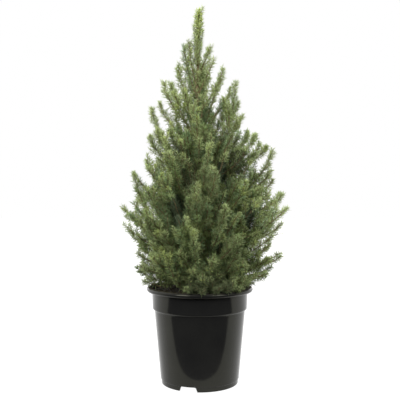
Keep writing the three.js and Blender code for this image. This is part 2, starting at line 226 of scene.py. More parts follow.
def make_finish(name, dark, light, grain, roughness, bump_depth, bump_grain, specular):
    """Two tones mixed by noise, a roughness that wanders with it, and a fine bump. Grains are per metre."""
    material = bpy.data.materials.new(name)
    material.use_nodes = True
    nodes = material.node_tree.nodes
    links = material.node_tree.links
    shader = nodes["Principled BSDF"]
    shader.inputs["Specular IOR Level"].default_value = specular
    place = nodes.new("ShaderNodeTexCoord")
    cloud = nodes.new("ShaderNodeTexNoise")
    cloud.inputs["Scale"].default_value = grain
    cloud.inputs["Detail"].default_value = 4
    links.new(place.outputs["Object"], cloud.inputs["Vector"])
    ramp = nodes.new("ShaderNodeValToRGB")
    ramp.color_ramp.elements[0].position = 0.35
    ramp.color_ramp.elements[0].color = dark
    ramp.color_ramp.elements[1].position = 0.65
    ramp.color_ramp.elements[1].color = light
    links.new(cloud.outputs["Fac"], ramp.inputs["Fac"])
    links.new(ramp.outputs["Color"], shader.inputs["Base Color"])
    gloss = nodes.new("ShaderNodeMapRange")
    gloss.inputs["To Min"].default_value = roughness[0]
    gloss.inputs["To Max"].default_value = roughness[1]
    links.new(cloud.outputs["Fac"], gloss.inputs["Value"])
    links.new(gloss.outputs[0], shader.inputs["Roughness"])
    fine = nodes.new("ShaderNodeTexNoise")
    fine.inputs["Scale"].default_value = bump_grain
    fine.inputs["Detail"].default_value = 3
    links.new(place.outputs["Object"], fine.inputs["Vector"])
    bump = nodes.new("ShaderNodeBump")
    bump.inputs["Strength"].default_value = 1
    bump.inputs["Distance"].default_value = bump_depth
    links.new(fine.outputs["Fac"], bump.inputs["Height"])
    links.new(bump.outputs["Normal"], shader.inputs["Normal"])
    return material


print("a screen grey of 128 is", round(tone(128, 128, 128)[0], 3), "in the shader")

# %% [markdown]
# ## The pot
# A nursery pot is moulded in one piece: a foot, a tapered wall, a rounded shoulder, a collar and a lip that
# rolls outwards. Half its section is drawn as a chain of points, with arcs where it is rounded, and spun
# once round the upright axis. The three drain notches are cut from the foot afterwards, and a small bevel
# rounds what was cut.

# %% Section of the pot
POT_HEIGHT = 171 * MM
LIP_RADIUS = 95 * MM
LIP_ROUND = 4 * MM
LIP_FLAT = 2 * MM
LIP_INNER_ROUND = 2.4 * MM
COLLAR_RADIUS = 85.6 * MM
COLLAR_STEP = 1 * MM
COLLAR_TOP = 161.5 * MM
SHOULDER_ROUND = 4 * MM
SHOULDER_HEIGHT = 134.6 * MM
BODY_TOP_RADIUS = 81 * MM
BODY_TOP = 128.6 * MM
BODY_BOTTOM_RADIUS = 70.1 * MM
FOOT_RADIUS = 68.5 * MM
FOOT_HEIGHT = 9 * MM
FOOT_FLARE = 0.3 * MM
FOOT_GROOVE = 1.7 * MM
FOOT_WALL = 3.5 * MM
EDGE_ROUND = 0.8 * MM
POT_WALL = 2 * MM
FLOOR_TOP = FOOT_HEIGHT + POT_WALL


def arc(middle, radius, start, stop, steps=6):
    """Points of a section along an arc, between two angles in degrees."""
    turns = [math.radians(start + (stop - start) * i / steps) for i in range(steps + 1)]
    return [(middle[0] + radius * math.cos(a), middle[1] + radius * math.sin(a)) for a in turns]


shoulder_middle = (COLLAR_RADIUS - COLLAR_STEP - SHOULDER_ROUND, SHOULDER_HEIGHT)
lip_middle = (LIP_RADIUS - LIP_ROUND, POT_HEIGHT - LIP_ROUND)
lip_inner_middle = (LIP_RADIUS - LIP_ROUND - LIP_FLAT, POT_HEIGHT - LIP_INNER_ROUND)
pot_section = [
    (0, FOOT_HEIGHT),
    (FOOT_RADIUS - FOOT_WALL, FOOT_HEIGHT),
    (FOOT_RADIUS - FOOT_WALL, 0),
    *arc((FOOT_RADIUS - EDGE_ROUND, EDGE_ROUND), EDGE_ROUND, -90, 0, 3),
    (FOOT_RADIUS + FOOT_FLARE, FOOT_HEIGHT - FOOT_GROOVE),
    *arc((BODY_BOTTOM_RADIUS - EDGE_ROUND, FOOT_HEIGHT), EDGE_ROUND, -60, 0, 3),
    (BODY_TOP_RADIUS, BODY_TOP),
    *arc(shoulder_middle, SHOULDER_ROUND, -76, 0, 8),
    (COLLAR_RADIUS, COLLAR_TOP),
    *arc(lip_middle, LIP_ROUND, -80, 90, 12),
    *arc(lip_inner_middle, LIP_INNER_ROUND, 90, 165, 4),
    (COLLAR_RADIUS - POT_WALL, COLLAR_TOP),
    (BODY_TOP_RADIUS - POT_WALL, BODY_TOP),
    (BODY_BOTTOM_RADIUS - POT_WALL, FLOOR_TOP),
    (0, FLOOR_TOP),
]
print("points in the pot's section:", len(pot_section))

# %% Spinning a section
POT_STEPS = 144


def spun(section, steps):
    """A section of (radius, height) points, spun once round the upright axis into a closed shape."""
    bm = bmesh.new()
    chain = [bm.verts.new((radius, 0, height)) for radius, height in section]
    for lower, upper in zip(chain, chain[1:]):
        bm.edges.new((lower, upper))
    geometry = bm.verts[:] + bm.edges[:]
    full_turn = 2 * math.pi
    bmesh.ops.spin(bm, geom=geometry, axis=(0, 0, 1), angle=full_turn, steps=steps, use_merge=True)
    bmesh.ops.remove_doubles(bm, verts=bm.verts, dist=1e-6)
    bmesh.ops.recalc_face_normals(bm, faces=bm.faces)
    return bm


pot_blank = mesh_from_bmesh("pot_blank", spun(pot_section, POT_STEPS))
print("faces of the spun pot:", len(pot_blank.polygons))

# %% Drain notches
NOTCH_COUNT = 3
NOTCH_TOP_WIDTH = 26 * MM
NOTCH_BOTTOM_WIDTH = 33 * MM
NOTCH_HEIGHT = 8.7 * MM
NOTCH_DEPTH = 3 * FOOT_WALL
NOTCH_CORNER = 2 * MM
BELOW_GROUND = 1 * MM
FIRST_NOTCH_TURN = math.radians(-107)
NOTCH_BEVEL = 0.5 * MM
notch_middle = (FOOT_RADIUS - FOOT_WALL / 2, 0, (NOTCH_HEIGHT - BELOW_GROUND) / 2)


def notch_cutter(turn):
    """The block that cuts one notch: a cube drawn out downwards, wider at the ground."""
    bm = bmesh.new()
    bmesh.ops.create_cube(bm, size=1)
    shape = Matrix.Diagonal((NOTCH_DEPTH, NOTCH_TOP_WIDTH, NOTCH_HEIGHT + BELOW_GROUND, 1))
    bmesh.ops.transform(bm, verts=bm.verts, matrix=shape)
    ground_verts = [v for v in bm.verts if v.co.z < 0]
    bmesh.ops.scale(bm, verts=ground_verts, vec=(1, NOTCH_BOTTOM_WIDTH / NOTCH_TOP_WIDTH, 1))
    top_edges = [e for e in bm.edges if all(v.co.z > 0 for v in e.verts)]
    corners = [e for e in top_edges if e.calc_length() < NOTCH_TOP_WIDTH / 2]
    bmesh.ops.bevel(
        bm, geom=corners, offset=NOTCH_CORNER, affect="EDGES", segments=4, profile=0.5, material=-1
    )
    place = Matrix.Rotation(turn, 4, "Z") @ Matrix.Translation(notch_middle)
    bmesh.ops.transform(bm, verts=bm.verts, matrix=place)
    cutter = bpy.data.objects.new("notch_cutter", mesh_from_bmesh("notch_cutter", bm))
    scene.collection.objects.link(cutter)
    return cutter


def cut_notches(mesh):
    """The pot's mesh with its notches cut out and the cut edges rounded."""
    blank = bpy.data.objects.new("pot_blank", mesh)
    scene.collection.objects.link(blank)
    turns = [FIRST_NOTCH_TURN + 2 * math.pi * i / NOTCH_COUNT for i in range(NOTCH_COUNT)]
    cutters = [notch_cutter(turn) for turn in turns]
    for cutter in cutters:
        cut = blank.modifiers.new("notch", "BOOLEAN")
        cut.object = cutter
        cut.operation = "DIFFERENCE"
    bevel = blank.modifiers.new("cut_edges", "BEVEL")
    bevel.width = NOTCH_BEVEL
    bevel.segments = 2
    bevel.angle_limit = math.radians(50)
    evaluated = blank.evaluated_get(bpy.context.evaluated_depsgraph_get())
    finished = bpy.data.meshes.new_from_object(evaluated)
    finished.name = "pot_shell"
    for used in [blank, *cutters]:
        bpy.data.objects.remove(used)
    return finished


pot_mesh = cut_notches(pot_blank)
print("faces of the pot with", NOTCH_COUNT, "notches:", len(pot_mesh.polygons))

# %% Pot and its plastic
OLIVE_GLEAM = (1, 1, 0.75, 1)
pot_plastic = make_finish(
    "pot_plastic",
    dark=tone(30, 30, 30),
    light=tone(35, 35, 34),
    grain=18,
    roughness=(0.1, 0.16),
    bump_depth=0.00004,
    bump_grain=120,
    specular=0.22,
)
pot_plastic.node_tree.nodes["Principled BSDF"].inputs["Specular Tint"].default_value = OLIVE_GLEAM
pot_mesh.shade_smooth()
pot_mesh.set_sharp_from_angle(angle=math.radians(35))
make_piece("pot_shell", pot_mesh, pot_plastic, ["pot"])

# %% [markdown]
# ## Dust inside the pot
# Watering leaves a dull film of dried peat inside the pot and on top of its lip, where the plastic no longer
# mirrors the room. The film has no thickness worth modelling, so the faces that look inwards or upwards
# there simply take a second, rough finish.

# %% Dusty faces
DUST_LOW = 140 * MM
DUST_RADIUS = LIP_RADIUS - 2.5 * MM
DUST_OUTWARD = 0.6
pot_dust = make_finish(
    "pot_dust",
    dark=tone(46, 44, 36),
    light=tone(66, 62, 50),
    grain=120,
    roughness=(0.85, 1.0),
    bump_depth=0.0002,
    bump_grain=700,
    specular=0.08,
)
pot_mesh.materials.append(pot_dust)
dusty = []
for face in pot_mesh.polygons:
    x, y, z = face.center
    radius = math.hypot(x, y)
    outward = face.normal.dot((x, y, 0))
    if DUST_LOW < z and radius < DUST_RADIUS and outward < DUST_OUTWARD * radius:
        face.material_index = 1
        dusty.append(face.index)
print("dusty faces:", len(dusty))

# %% [markdown]
# ## The soil
# Potting soil is dark peat with crumbs and bits of bark, and it rises a little towards the wall. Its body is
# spun like the pot, with close rings on the top, which noise then lifts into small mounds. Crumbs are low
# icospheres of twenty faces, pressed flat, turned and scattered. They are one joined mesh, because there are
# hundreds of them.

# %% Body of the soil
SOIL_TOP = 160 * MM
SOIL_EDGE_RISE = 4 * MM
SOIL_GAP = 0.45 * MM
SOIL_EDGE_GAP = 0.4 * MM
SOIL_LIFT = 0.3 * MM
SOIL_RELIEF = 1.6 * MM
SOIL_RINGS = 34
SOIL_STEPS = 110
MOUNDS_PER_METRE = 55
SMOOTH_ANGLE = math.radians(60)
soil_edge_radius = COLLAR_RADIUS - POT_WALL - SOIL_GAP - SOIL_EDGE_GAP


def soil_height(x, y):
    """The soil's surface, which watering has left a little higher along the wall, with small mounds."""
    share = math.hypot(x, y) / soil_edge_radius
    mounds = noise.fractal(Vector((x, y, 0)) * MOUNDS_PER_METRE, 0.9, 2.1, 4)
    return SOIL_TOP + SOIL_EDGE_RISE * share**4 + SOIL_RELIEF * mounds * min(1, 4 * (1.05 - share))


def soil_body():
    rings = [soil_edge_radius * (1 - i / SOIL_RINGS) for i in range(SOIL_RINGS + 1)]
    section = [
        (0, FLOOR_TOP + SOIL_LIFT),
        (BODY_BOTTOM_RADIUS - POT_WALL - SOIL_GAP, FLOOR_TOP + SOIL_LIFT),
        (BODY_TOP_RADIUS - POT_WALL - SOIL_GAP, BODY_TOP),
        *[(radius, SOIL_TOP) for radius in rings],
    ]
    bm = spun(section, SOIL_STEPS)
    for vert in bm.verts:
        if vert.co.z > SOIL_TOP - MM:
            vert.co.z = soil_height(vert.co.x, vert.co.y)
    return mesh_from_bmesh("soil_body", bm, SMOOTH_ANGLE)


soil_peat = make_finish(
    "soil_peat",
    dark=tone(40, 38, 30),
    light=tone(66, 60, 46),
    grain=260,
    roughness=(0.85, 1.0),
    bump_depth=0.0012,
    bump_grain=700,
    specular=0.2,
)
make_piece("soil_body", soil_body(), soil_peat, ["soil"])

# %% Crumbs on the soil
CRUMB_COUNT = 900
CRUMB_SIZES = (0.7, 2.3)  # in millimetres
rng = np.random.default_rng(19)


def joined_mesh(name, places, triangles):
    """One mesh from an array of points and an array of triangles."""
    mesh = bpy.data.meshes.new(name)
    mesh.vertices.add(len(places))
    mesh.vertices.foreach_set("co", np.asarray(places, np.float32).ravel())
    mesh.loops.add(3 * len(triangles))
    mesh.loops.foreach_set("vertex_index", np.asarray(triangles, np.int32).ravel())
    mesh.polygons.add(len(triangles))
    mesh.polygons.foreach_set("loop_start", np.arange(0, 3 * len(triangles), 3, dtype=np.int32))
    mesh.update(calc_edges=True)
    return mesh


def soil_crumbs():
    bm = bmesh.new()
    bmesh.ops.create_icosphere(bm, subdivisions=1, radius=1)
    ball = np.array([v.co for v in bm.verts])
    faces = np.array([[v.index for v in f.verts] for f in bm.faces])
    bm.free()
    places = []
    triangles = []
    for i in range(CRUMB_COUNT):
        reach = (soil_edge_radius - 2 * MM) * math.sqrt(rng.random())
        turn = 2 * math.pi * rng.random()
        x = reach * math.cos(turn)
        y = reach * math.sin(turn)
        size = MM * rng.uniform(*CRUMB_SIZES)
        shape = np.array([size * rng.uniform(0.8, 1.7), size, size * rng.uniform(0.4, 0.8)])
        spin = Matrix.Rotation(2 * math.pi * rng.random(), 3, "Z")
        tilt = Matrix.Rotation(rng.uniform(-0.5, 0.5), 3, "X")
        bumpy = ball * shape * rng.uniform(0.75, 1.2, (len(ball), 1))
        places.append(bumpy @ np.array(spin @ tilt).T + (x, y, soil_height(x, y) + 0.2 * size))
        triangles.append(faces + i * len(ball))
    return joined_mesh("soil_crumbs", np.concatenate(places), np.concatenate(triangles))


crumb_bark = make_finish(
    "crumb_bark",
    dark=tone(44, 41, 31),
    light=tone(84, 75, 54),
    grain=90,
    roughness=(0.8, 1.0),
    bump_depth=0.0004,
    bump_grain=900,
    specular=0.2,
)
make_piece("soil_crumbs", soil_crumbs(), crumb_bark, ["soil"])

# %% [markdown]
# ## How the crown is built
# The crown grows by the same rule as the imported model. A limb leaves the trunk below its tip and bends
# upwards on its way out. The limbs of the outline have their tips where the photograph shows them, and the
# limbs of the fill are dealt out in front and behind by turns of the golden section. Each limb is one curve
# with a start, a bend and an end.

# %% Sizes of the crown
TOTAL_HEIGHT = 672 * MM
TRUNK_FOOT = 160.3 * MM
TRUNK_TOP = 566 * MM
TRUNK_FOOT_RADIUS = 8.2 * MM
TRUNK_TOP_RADIUS = 2.7 * MM
TRUNK_BOW = -4.5 * MM
WIDEST_HEIGHT = 310 * MM
WIDEST_RADIUS = 150 * MM
LOWEST_TIP = 190 * MM
LOWEST_RADIUS = 112 * MM
UP = np.array((0.0, 0.0, 1.0))


def lerp(start, end, share):
    return start + (end - start) * share


def share_between(value, low, high):
    """How far a value has come from low to high, held between 0 and 1."""
    return min(1, max(0, (value - low) / (high - low)))


def trunk_middle(height):
    """Where the trunk's middle is at a height: upright, with a slight bow."""
    share = max(0, (height - TRUNK_FOOT) / (TOTAL_HEIGHT - TRUNK_FOOT))
    return np.array((TRUNK_BOW * math.sin(math.pi * share**1.6), 0, height))


def crown_radius(height):
    """How far the crown reaches at a height, or at many: a cone above the widest, drawn in below it."""
    above = WIDEST_RADIUS * (TOTAL_HEIGHT - height) / (TOTAL_HEIGHT - WIDEST_HEIGHT)
    below = lerp(LOWEST_RADIUS, WIDEST_RADIUS, (height - LOWEST_TIP) / (WIDEST_HEIGHT - LOWEST_TIP))
    return np.where(height > WIDEST_HEIGHT, above, below)


print("crown reaches", round(1000 * crown_radius(WIDEST_HEIGHT)), "mm at its widest")

# %% The limbs
OUTLINE_TIPS = [  # height, sideways reach and depth towards the back, in millimetres
    (202, 119, -62), (232, 150, 8), (313, 151, -50), (343, 152, 22), (421, 130, 15), (433, 100, -32),
    (543, 65, 0), (564, 42, -14), (213, -110, -30), (288, -138, -28), (317, -148, 40), (378, -120, 0),
    (405, -104, 34), (431, -90, -36), (494, -87, 5), (538, -67, -10), (574, -40, 8),
]
LOWEST_LIMB_ROOT = 177 * MM
HIGHEST_LIMB_ROOT = 506 * MM
HIGHEST_TIP = 574 * MM
CLIMB_POWER = 1.55
BEND_OUT = 0.62
BEND_UP = 0.22
FILL_LIMBS = 19
FILL_LOW = 196 * MM
FILL_HIGH = 520 * MM
FILL_REACH = 0.97
FILL_START = 0.52
FILL_SPREAD = math.radians(58)
TURNED_ON = {8: 2}  # the one limb of the fill that turned on, twice, to clear its neighbours
LEADER_REACH = 30 * MM
GOLDEN_SHARE = (math.sqrt(5) - 1) / 2
GOLDEN_ANGLE = 2 * math.pi * (1 - GOLDEN_SHARE)
Limb = namedtuple("Limb", "number name start bend end reach")


def fill_tip(index):
    """The tip of a limb of the fill, in front for even numbers and behind for odd ones."""
    height = lerp(FILL_LOW, FILL_HIGH, index / (FILL_LIMBS - 1))
    facing = math.pi / 2 if index % 2 else -math.pi / 2
    golden = ((index // 2 + FILL_LIMBS * TURNED_ON.get(index, 0)) * GOLDEN_SHARE + FILL_START) % 1
    turn = facing + FILL_SPREAD * (2 * golden - 1)
    reach = FILL_REACH * crown_radius(height)
    return np.array((reach * math.cos(turn), reach * math.sin(turn), height))


def limb_to(number, tip):
    share = max(0, (tip[2] - LOWEST_TIP) / (HIGHEST_TIP - LOWEST_TIP))
    root = trunk_middle(lerp(LOWEST_LIMB_ROOT, HIGHEST_LIMB_ROOT, share**CLIMB_POWER))
    bend = lerp(root, tip, np.array((BEND_OUT, BEND_OUT, BEND_UP)))
    return Limb(number, f"{number:02d}", root, bend, tip, math.hypot(tip[0], tip[1]))


tips = [MM * np.array((side, depth, height)) for height, side, depth in OUTLINE_TIPS]
tips += [fill_tip(index) for index in range(FILL_LIMBS)]
limbs = [limb_to(number + 1, tip) for number, tip in enumerate(tips)]
leader_foot = trunk_middle(TRUNK_TOP)
leader_bend = np.array((leader_foot[0] - 2 * MM, 0, lerp(TRUNK_TOP, TOTAL_HEIGHT, 0.5)))
leader = Limb(0, "leader", leader_foot, leader_bend, np.array((0, 0, TOTAL_HEIGHT)), LEADER_REACH)
print("limbs:", len(limbs), "and the leader")

# %% [markdown]
# ## Inner limbs
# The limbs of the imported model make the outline, but a real crown is filled with many more. A few lesser
# tips stand where the photograph shows them, at the sides and over the rim. All others keep inside the crown
# and are dealt out by the golden angle, which never lets two of them stand in line.

# %% Inner limbs
LESSER_TIPS = [  # height, sideways reach and depth, in millimetres as before
    (396, 126, -14), (374, 129, 16), (362, 122, -4), (348, 127, -26), (322, 140, -18), (300, 140, -24),
    (284, 137, 14), (266, 130, -34), (246, 122, -20), (228, 116, 10), (190, -98, -24), (178, -20, -102),
    (173, 4, -106), (177, 32, -100), (175, 48, -90), (182, 58, -86), (176, 70, -78), (188, 84, -66),
    (182, 90, -46),
]
FIRST_INNER = 100
INNER_LIMBS = 104
INNER_LOW = 186 * MM
INNER_HIGH = 468 * MM
INNER_CLIMB = 1.25
INNER_LEAST_REACH = 0.4
INNER_REACH_LOW = 0.93
INNER_REACH_HIGH = 0.6
REACH_FALLS_FROM = 380 * MM
REACH_FALLS_OVER = 80 * MM
REACH_DRAW = 70


def chance(which, draw):
    """The same repeatable number between 0 and 1 for the same two numbers."""
    wave = math.sin(which * 12.9898 + draw * 78.233) * 43758.5453
    return wave - math.floor(wave)


def inner_tip(index):
    """The tip of a limb that stays inside the crown, closer to its neighbours low down."""
    height = lerp(INNER_LOW, INNER_HIGH, ((index + 0.5) / INNER_LIMBS) ** INNER_CLIMB)
    high = min(1, max(0, (height - REACH_FALLS_FROM) / REACH_FALLS_OVER))
    most = lerp(INNER_REACH_LOW, INNER_REACH_HIGH, high)
    reach = crown_radius(height) * lerp(INNER_LEAST_REACH, most, math.sqrt(chance(index, REACH_DRAW)))
    turn = GOLDEN_ANGLE * index
    return np.array((reach * math.cos(turn), reach * math.sin(turn), height))


inner_tips = [MM * np.array((side, depth, height)) for height, side, depth in LESSER_TIPS]
inner_tips += [inner_tip(index) for index in range(INNER_LIMBS)]
inner_limbs = [limb_to(FIRST_INNER + number, tip) for number, tip in enumerate(inner_tips)]
print("inner limbs:", len(inner_limbs))

# %% [markdown]
# ## Upright brushes
# The upper half of this plant is made of slim shoots that stand up like bottle brushes. Their tips were
# chosen where the photograph shows one: some rise from the trunk, some lean outwards and some rise
# from a bough. The camera doesn't see the back, so the brushes there are dealt out by the golden section,
# and so are a few more in front. A brush is a limb like the others, only with its bend close below its tip.

# %% Tips of the brushes
BRUSHES = [  # side, height and depth of the tip and the length of its upright end, in millimetres
    (-28, 607, 4, 43), (-19, 610, -9, 38), (-39, 573, 8, 41), (64, 543, 0, 104), (-64, 538, -10, 41),
    (-72, 503, -8, 36), (-53, 540, 12, 33), (-86, 494, 5, 56), (-11, 492, -48, 44), (-26, 519, -30, 31),
    (-18, 560, 24, 30), (8, 571, 22, 26), (-89, 443, -6, 38), (-73, 447, -32, 36), (-60, 435, -46, 39),
    (-43, 389, -78, 45), (87, 452, 6, 39), (98, 445, -12, 37), (106, 428, -24, 35), (121, 425, 20, 30),
    (43, 442, -46, 29), (15, 417, -80, 36), (51, 414, -70, 33), (11, 502, 22, 34), (24, 487, 26, 33),
    (34, 471, 8, 33), (16, 472, -14, 28), (27, 449, -30, 28), (7, 455, -40, 27), (36, 433, -52, 27),
    (21, 429, -60, 30), (-1, 432, -62, 33), (-22, 443, -50, 30), (-34, 432, -58, 30), (-52, 451, -38, 30),
    (66, 441, -36, 27), (77, 412, -56, 27), (7, 506, -24, 24),
]
LEANING_BRUSHES = [  # the same for those that lean outwards, and one whose foot is beside the trunk
    (20, 604, 3, 25), (24, 573, -12, 26), (43, 563, -14, 52, 8), (14, 550, 10, 18), (37, 537, -6, 25),
    (38, 497, -10, 28),
]
BOUGH_BRUSHES = [  # the same for those that rise from a bough, and how far out their foot is
    (45, 509, -8, 26, 56), (74, 478, -5, 17, 57), (52, 496, -14, 20, 58), (69, 505, 6, 17, 59),
    (40, 488, 4, 25, 51), (66, 471, -16, 17, 56), (132, 422, 12, 31, 94), (127, 381, -6, 18, 90),
    (133, 366, 8, 17, 93), (151, 337, 12, 13, 106), (154, 314, -32, 10, 108), (147, 286, 0, 14, 100),
    (146, 226, -2, 9, 100), (-118, 377, -4, 36, -86), (-109, 340, 14, 23, -84), (127, 210, -24, 9, 83),
    (118, 226, -44, 11, 83), (-113, 233, -6, 9, -79), (-113, 209, -14, 11, -79), (88, 306, 10, 16, 62),
    (126, 250, 0, 14, 92), (-43, 480, 12, 26, -14), (55, 530, 2, 24, 30), (-100, 184, -10, 6, -70),
    (114, 194, -20, 6, 80), (-97, 398, 10, 12, -74),
]
FIRST_BRUSH = 200  # inner limbs also reach these numbers, and then take the brushes' greens
FIRST_LEANING = 280
FIRST_BACK = 300
FIRST_FRONT = 400
print("brushes placed by eye:", len(BRUSHES) + len(LEANING_BRUSHES) + len(BOUGH_BRUSHES))

# %% Limbs of the brushes
UPPER_HEIGHT = 430 * MM
BRUSH_FALL = 2.3
UPRIGHT_BEND = 0.97
LEANING_BEND = 0.6
BEND_DEPTH = 0.8
BACK_BRUSHES = 15
BACK_LOW = 415 * MM
BACK_HIGH = 572 * MM
BACK_RISE = 36 * MM
FRONT_BRUSHES = 10
FRONT_LOW = 236 * MM
FRONT_HIGH = 424 * MM
FRONT_RISE = 44 * MM
BRUSH_SPREAD = math.radians(52)
TOP_SPREAD = math.radians(10)
BRUSH_REACH = 0.86
TOP_REACH = 0.55


def brush(number, side, height, depth, rise, foot_side=0, bend_share=UPRIGHT_BEND):
    """A limb that leaves the trunk, or a bough, and stands upright for its last stretch."""
    foot = trunk_middle(height - BRUSH_FALL * rise) + np.array((foot_side, 0, 0))
    bend = np.array((bend_share * side, BEND_DEPTH * depth, height - rise))
    tip = np.array((side, depth, height))
    return Limb(number, f"{number:02d}", foot, bend, tip, math.hypot(side, depth))


def dealt_brush(number, facing, height, rise):
    """A brush in front or at the back, turned by the golden section, closer to the middle high up."""
    high = max(0, (height - UPPER_HEIGHT) / (BACK_HIGH - UPPER_HEIGHT))
    spread = lerp(BRUSH_SPREAD, TOP_SPREAD, high)
    turn = facing + spread * (2 * (number * GOLDEN_SHARE % 1) - 1)
    reach = lerp(BRUSH_REACH, TOP_REACH, high) * crown_radius(height)
    return brush(number, reach * math.cos(turn), height, reach * math.sin(turn), rise)


upper_limbs = []
for i, row in enumerate([*BRUSHES, *BOUGH_BRUSHES]):
    upper_limbs.append(brush(FIRST_BRUSH + i, *(MM * v for v in row)))
for i, row in enumerate(LEANING_BRUSHES):
    upper_limbs.append(brush(FIRST_LEANING + i, *(MM * v for v in row), bend_share=LEANING_BEND))
upper_limbs += [limb for limb in limbs[len(OUTLINE_TIPS) :] if limb.end[2] > UPPER_HEIGHT]
for i in range(BACK_BRUSHES):
    height = lerp(BACK_LOW, BACK_HIGH, i / (BACK_BRUSHES - 1))
    upper_limbs.append(dealt_brush(FIRST_BACK + i, math.pi / 2, height, BACK_RISE))
for i in range(FRONT_BRUSHES):
    height = lerp(FRONT_LOW, FRONT_HIGH, i / (FRONT_BRUSHES - 1))
    upper_limbs.append(dealt_brush(FIRST_FRONT + i, -math.pi / 2, height, FRONT_RISE))
print("limbs of the upper crown and brushes:", len(upper_limbs))

# %% [markdown]
# ## Trunk and boughs
# The bark of a young spruce is grey-brown and breaks into small scales. A rod is a circle whose cap is
# extruded again and again along the limb's curve, and noise that is stretched along it then pushes the
# surface in and out. The low limbs are boughs as far as their first third, and what lies beyond is made with
# the twigs.

# %% A rod with relief
HIGHEST_BOUGH_TIP = 374 * MM


def curve_point(start, bend, end, share):
    return (1 - share) ** 2 * start + 2 * share * (1 - share) * bend + share**2 * end


def curve_slope(start, bend, end, share):
    slope = (1 - share) * (bend - start) + share * (end - bend)
    return slope / np.linalg.norm(slope, axis=-1, keepdims=True)


def rod(bm, points, radii, sides):
    """A round rod through points: a circle whose cap is extruded from each point to the next."""
    def station(i):
        ahead = points[min(i + 1, len(points) - 1)] - points[max(i - 1, 0)]
        turned = Vector(ahead).to_track_quat("Z", "Y").to_matrix().to_4x4()
        return Matrix.Translation(points[i]) @ turned @ Matrix.Diagonal((radii[i],) * 3 + (1,))

    first = bmesh.ops.create_circle(bm, cap_ends=True, segments=sides, radius=1)["verts"]
    bmesh.ops.transform(bm, verts=first, matrix=station(0))
    cap = first[0].link_faces[0]
    foot = bmesh.ops.duplicate(bm, geom=[cap, *cap.edges, *cap.verts])["geom"]
    bmesh.ops.reverse_faces(bm, faces=[f for f in foot if isinstance(f, bmesh.types.BMFace)])
    for i in range(1, len(points)):
        grown = bmesh.ops.extrude_face_region(bm, geom=[cap])["geom"]
        bmesh.ops.delete(bm, geom=[cap], context="FACES_ONLY")
        cap = next(g for g in grown if isinstance(g, bmesh.types.BMFace))
        bmesh.ops.transform(bm, verts=list(cap.verts), matrix=station(i) @ station(i - 1).inverted())


def bark_relief(bm, depth, grain):
    """Pushes the bark in and out by noise that is drawn out along the limbs."""
    bmesh.ops.remove_doubles(bm, verts=bm.verts, dist=1e-6)
    bmesh.ops.recalc_face_normals(bm, faces=bm.faces)
    bm.normal_update()
    for vert in bm.verts:
        scaled = Vector((vert.co.x, vert.co.y, 0.45 * vert.co.z)) * grain
        vert.co += vert.normal * depth * noise.fractal(scaled, 0.8, 2.0, 3)


boughs = [limb for limb in limbs if limb.end[2] < HIGHEST_BOUGH_TIP]
print("limbs that are boughs:", len(boughs))

# %% Trunk and boughs with bark
TRUNK_RINGS = 130
TRUNK_SIDES = 20
TRUNK_RELIEF = 0.55 * MM
TRUNK_GRAIN = 260
ROOT_FLARE = 4.6 * MM
ROOT_FLARE_HEIGHT = 9 * MM
ROOT_LOBES = 4
BOUGH_SHARE = 0.36
BOUGH_RINGS = 26
BOUGH_SIDES = 10
BOUGH_RELIEF = 0.35 * MM
BOUGH_GRAIN = 420
BOUGH_ROOT_RADIUS = 3.3 * MM
BOUGH_TIP_RADIUS = 2.4 * MM


def trunk_bark():
    bm = bmesh.new()
    steps = range(TRUNK_RINGS + 1)
    heights = [lerp(TRUNK_FOOT, TRUNK_TOP, (i / TRUNK_RINGS) ** 1.15) for i in steps]
    shares = [(height - TRUNK_FOOT) / (TRUNK_TOP - TRUNK_FOOT) for height in heights]
    radii = [lerp(TRUNK_FOOT_RADIUS, TRUNK_TOP_RADIUS, share**0.85) for share in shares]
    rod(bm, [trunk_middle(height) for height in heights], radii, TRUNK_SIDES)
    for vert in bm.verts:
        middle = trunk_middle(vert.co.z)
        turn = math.atan2(vert.co.y - middle[1], vert.co.x - middle[0])
        lobe = 0.65 + 0.35 * math.cos(ROOT_LOBES * turn + 0.6)
        flare = ROOT_FLARE * lobe * math.exp((TRUNK_FOOT - vert.co.z) / ROOT_FLARE_HEIGHT)
        vert.co.x += flare * math.cos(turn)
        vert.co.y += flare * math.sin(turn)
    bark_relief(bm, TRUNK_RELIEF, TRUNK_GRAIN)
    return mesh_from_bmesh("trunk_bark", bm, SMOOTH_ANGLE)


def bough_bark():
    bm = bmesh.new()
    steps = range(BOUGH_RINGS + 1)
    radii = [lerp(BOUGH_ROOT_RADIUS, BOUGH_TIP_RADIUS, i / BOUGH_RINGS) for i in steps]
    for limb in boughs:
        shares = [BOUGH_SHARE * i / BOUGH_RINGS for i in steps]
        points = [curve_point(limb.start, limb.bend, limb.end, share) for share in shares]
        rod(bm, points, radii, BOUGH_SIDES)
    bark_relief(bm, BOUGH_RELIEF, BOUGH_GRAIN)
    return mesh_from_bmesh("bough_bark", bm, SMOOTH_ANGLE)


grey_bark = make_finish(
    "grey_bark",
    dark=tone(100, 88, 64),
    light=tone(148, 132, 100),
    grain=160,
    roughness=(0.75, 0.95),
    bump_depth=0.0006,
    bump_grain=600,
    specular=0.25,
)
bough_nodes = [f"bough_{limb.name}" for limb in boughs]
make_piece("trunk_bark", trunk_bark(), grey_bark, ["trunk"])
make_piece("bough_bark", bough_bark(), grey_bark, bough_nodes)
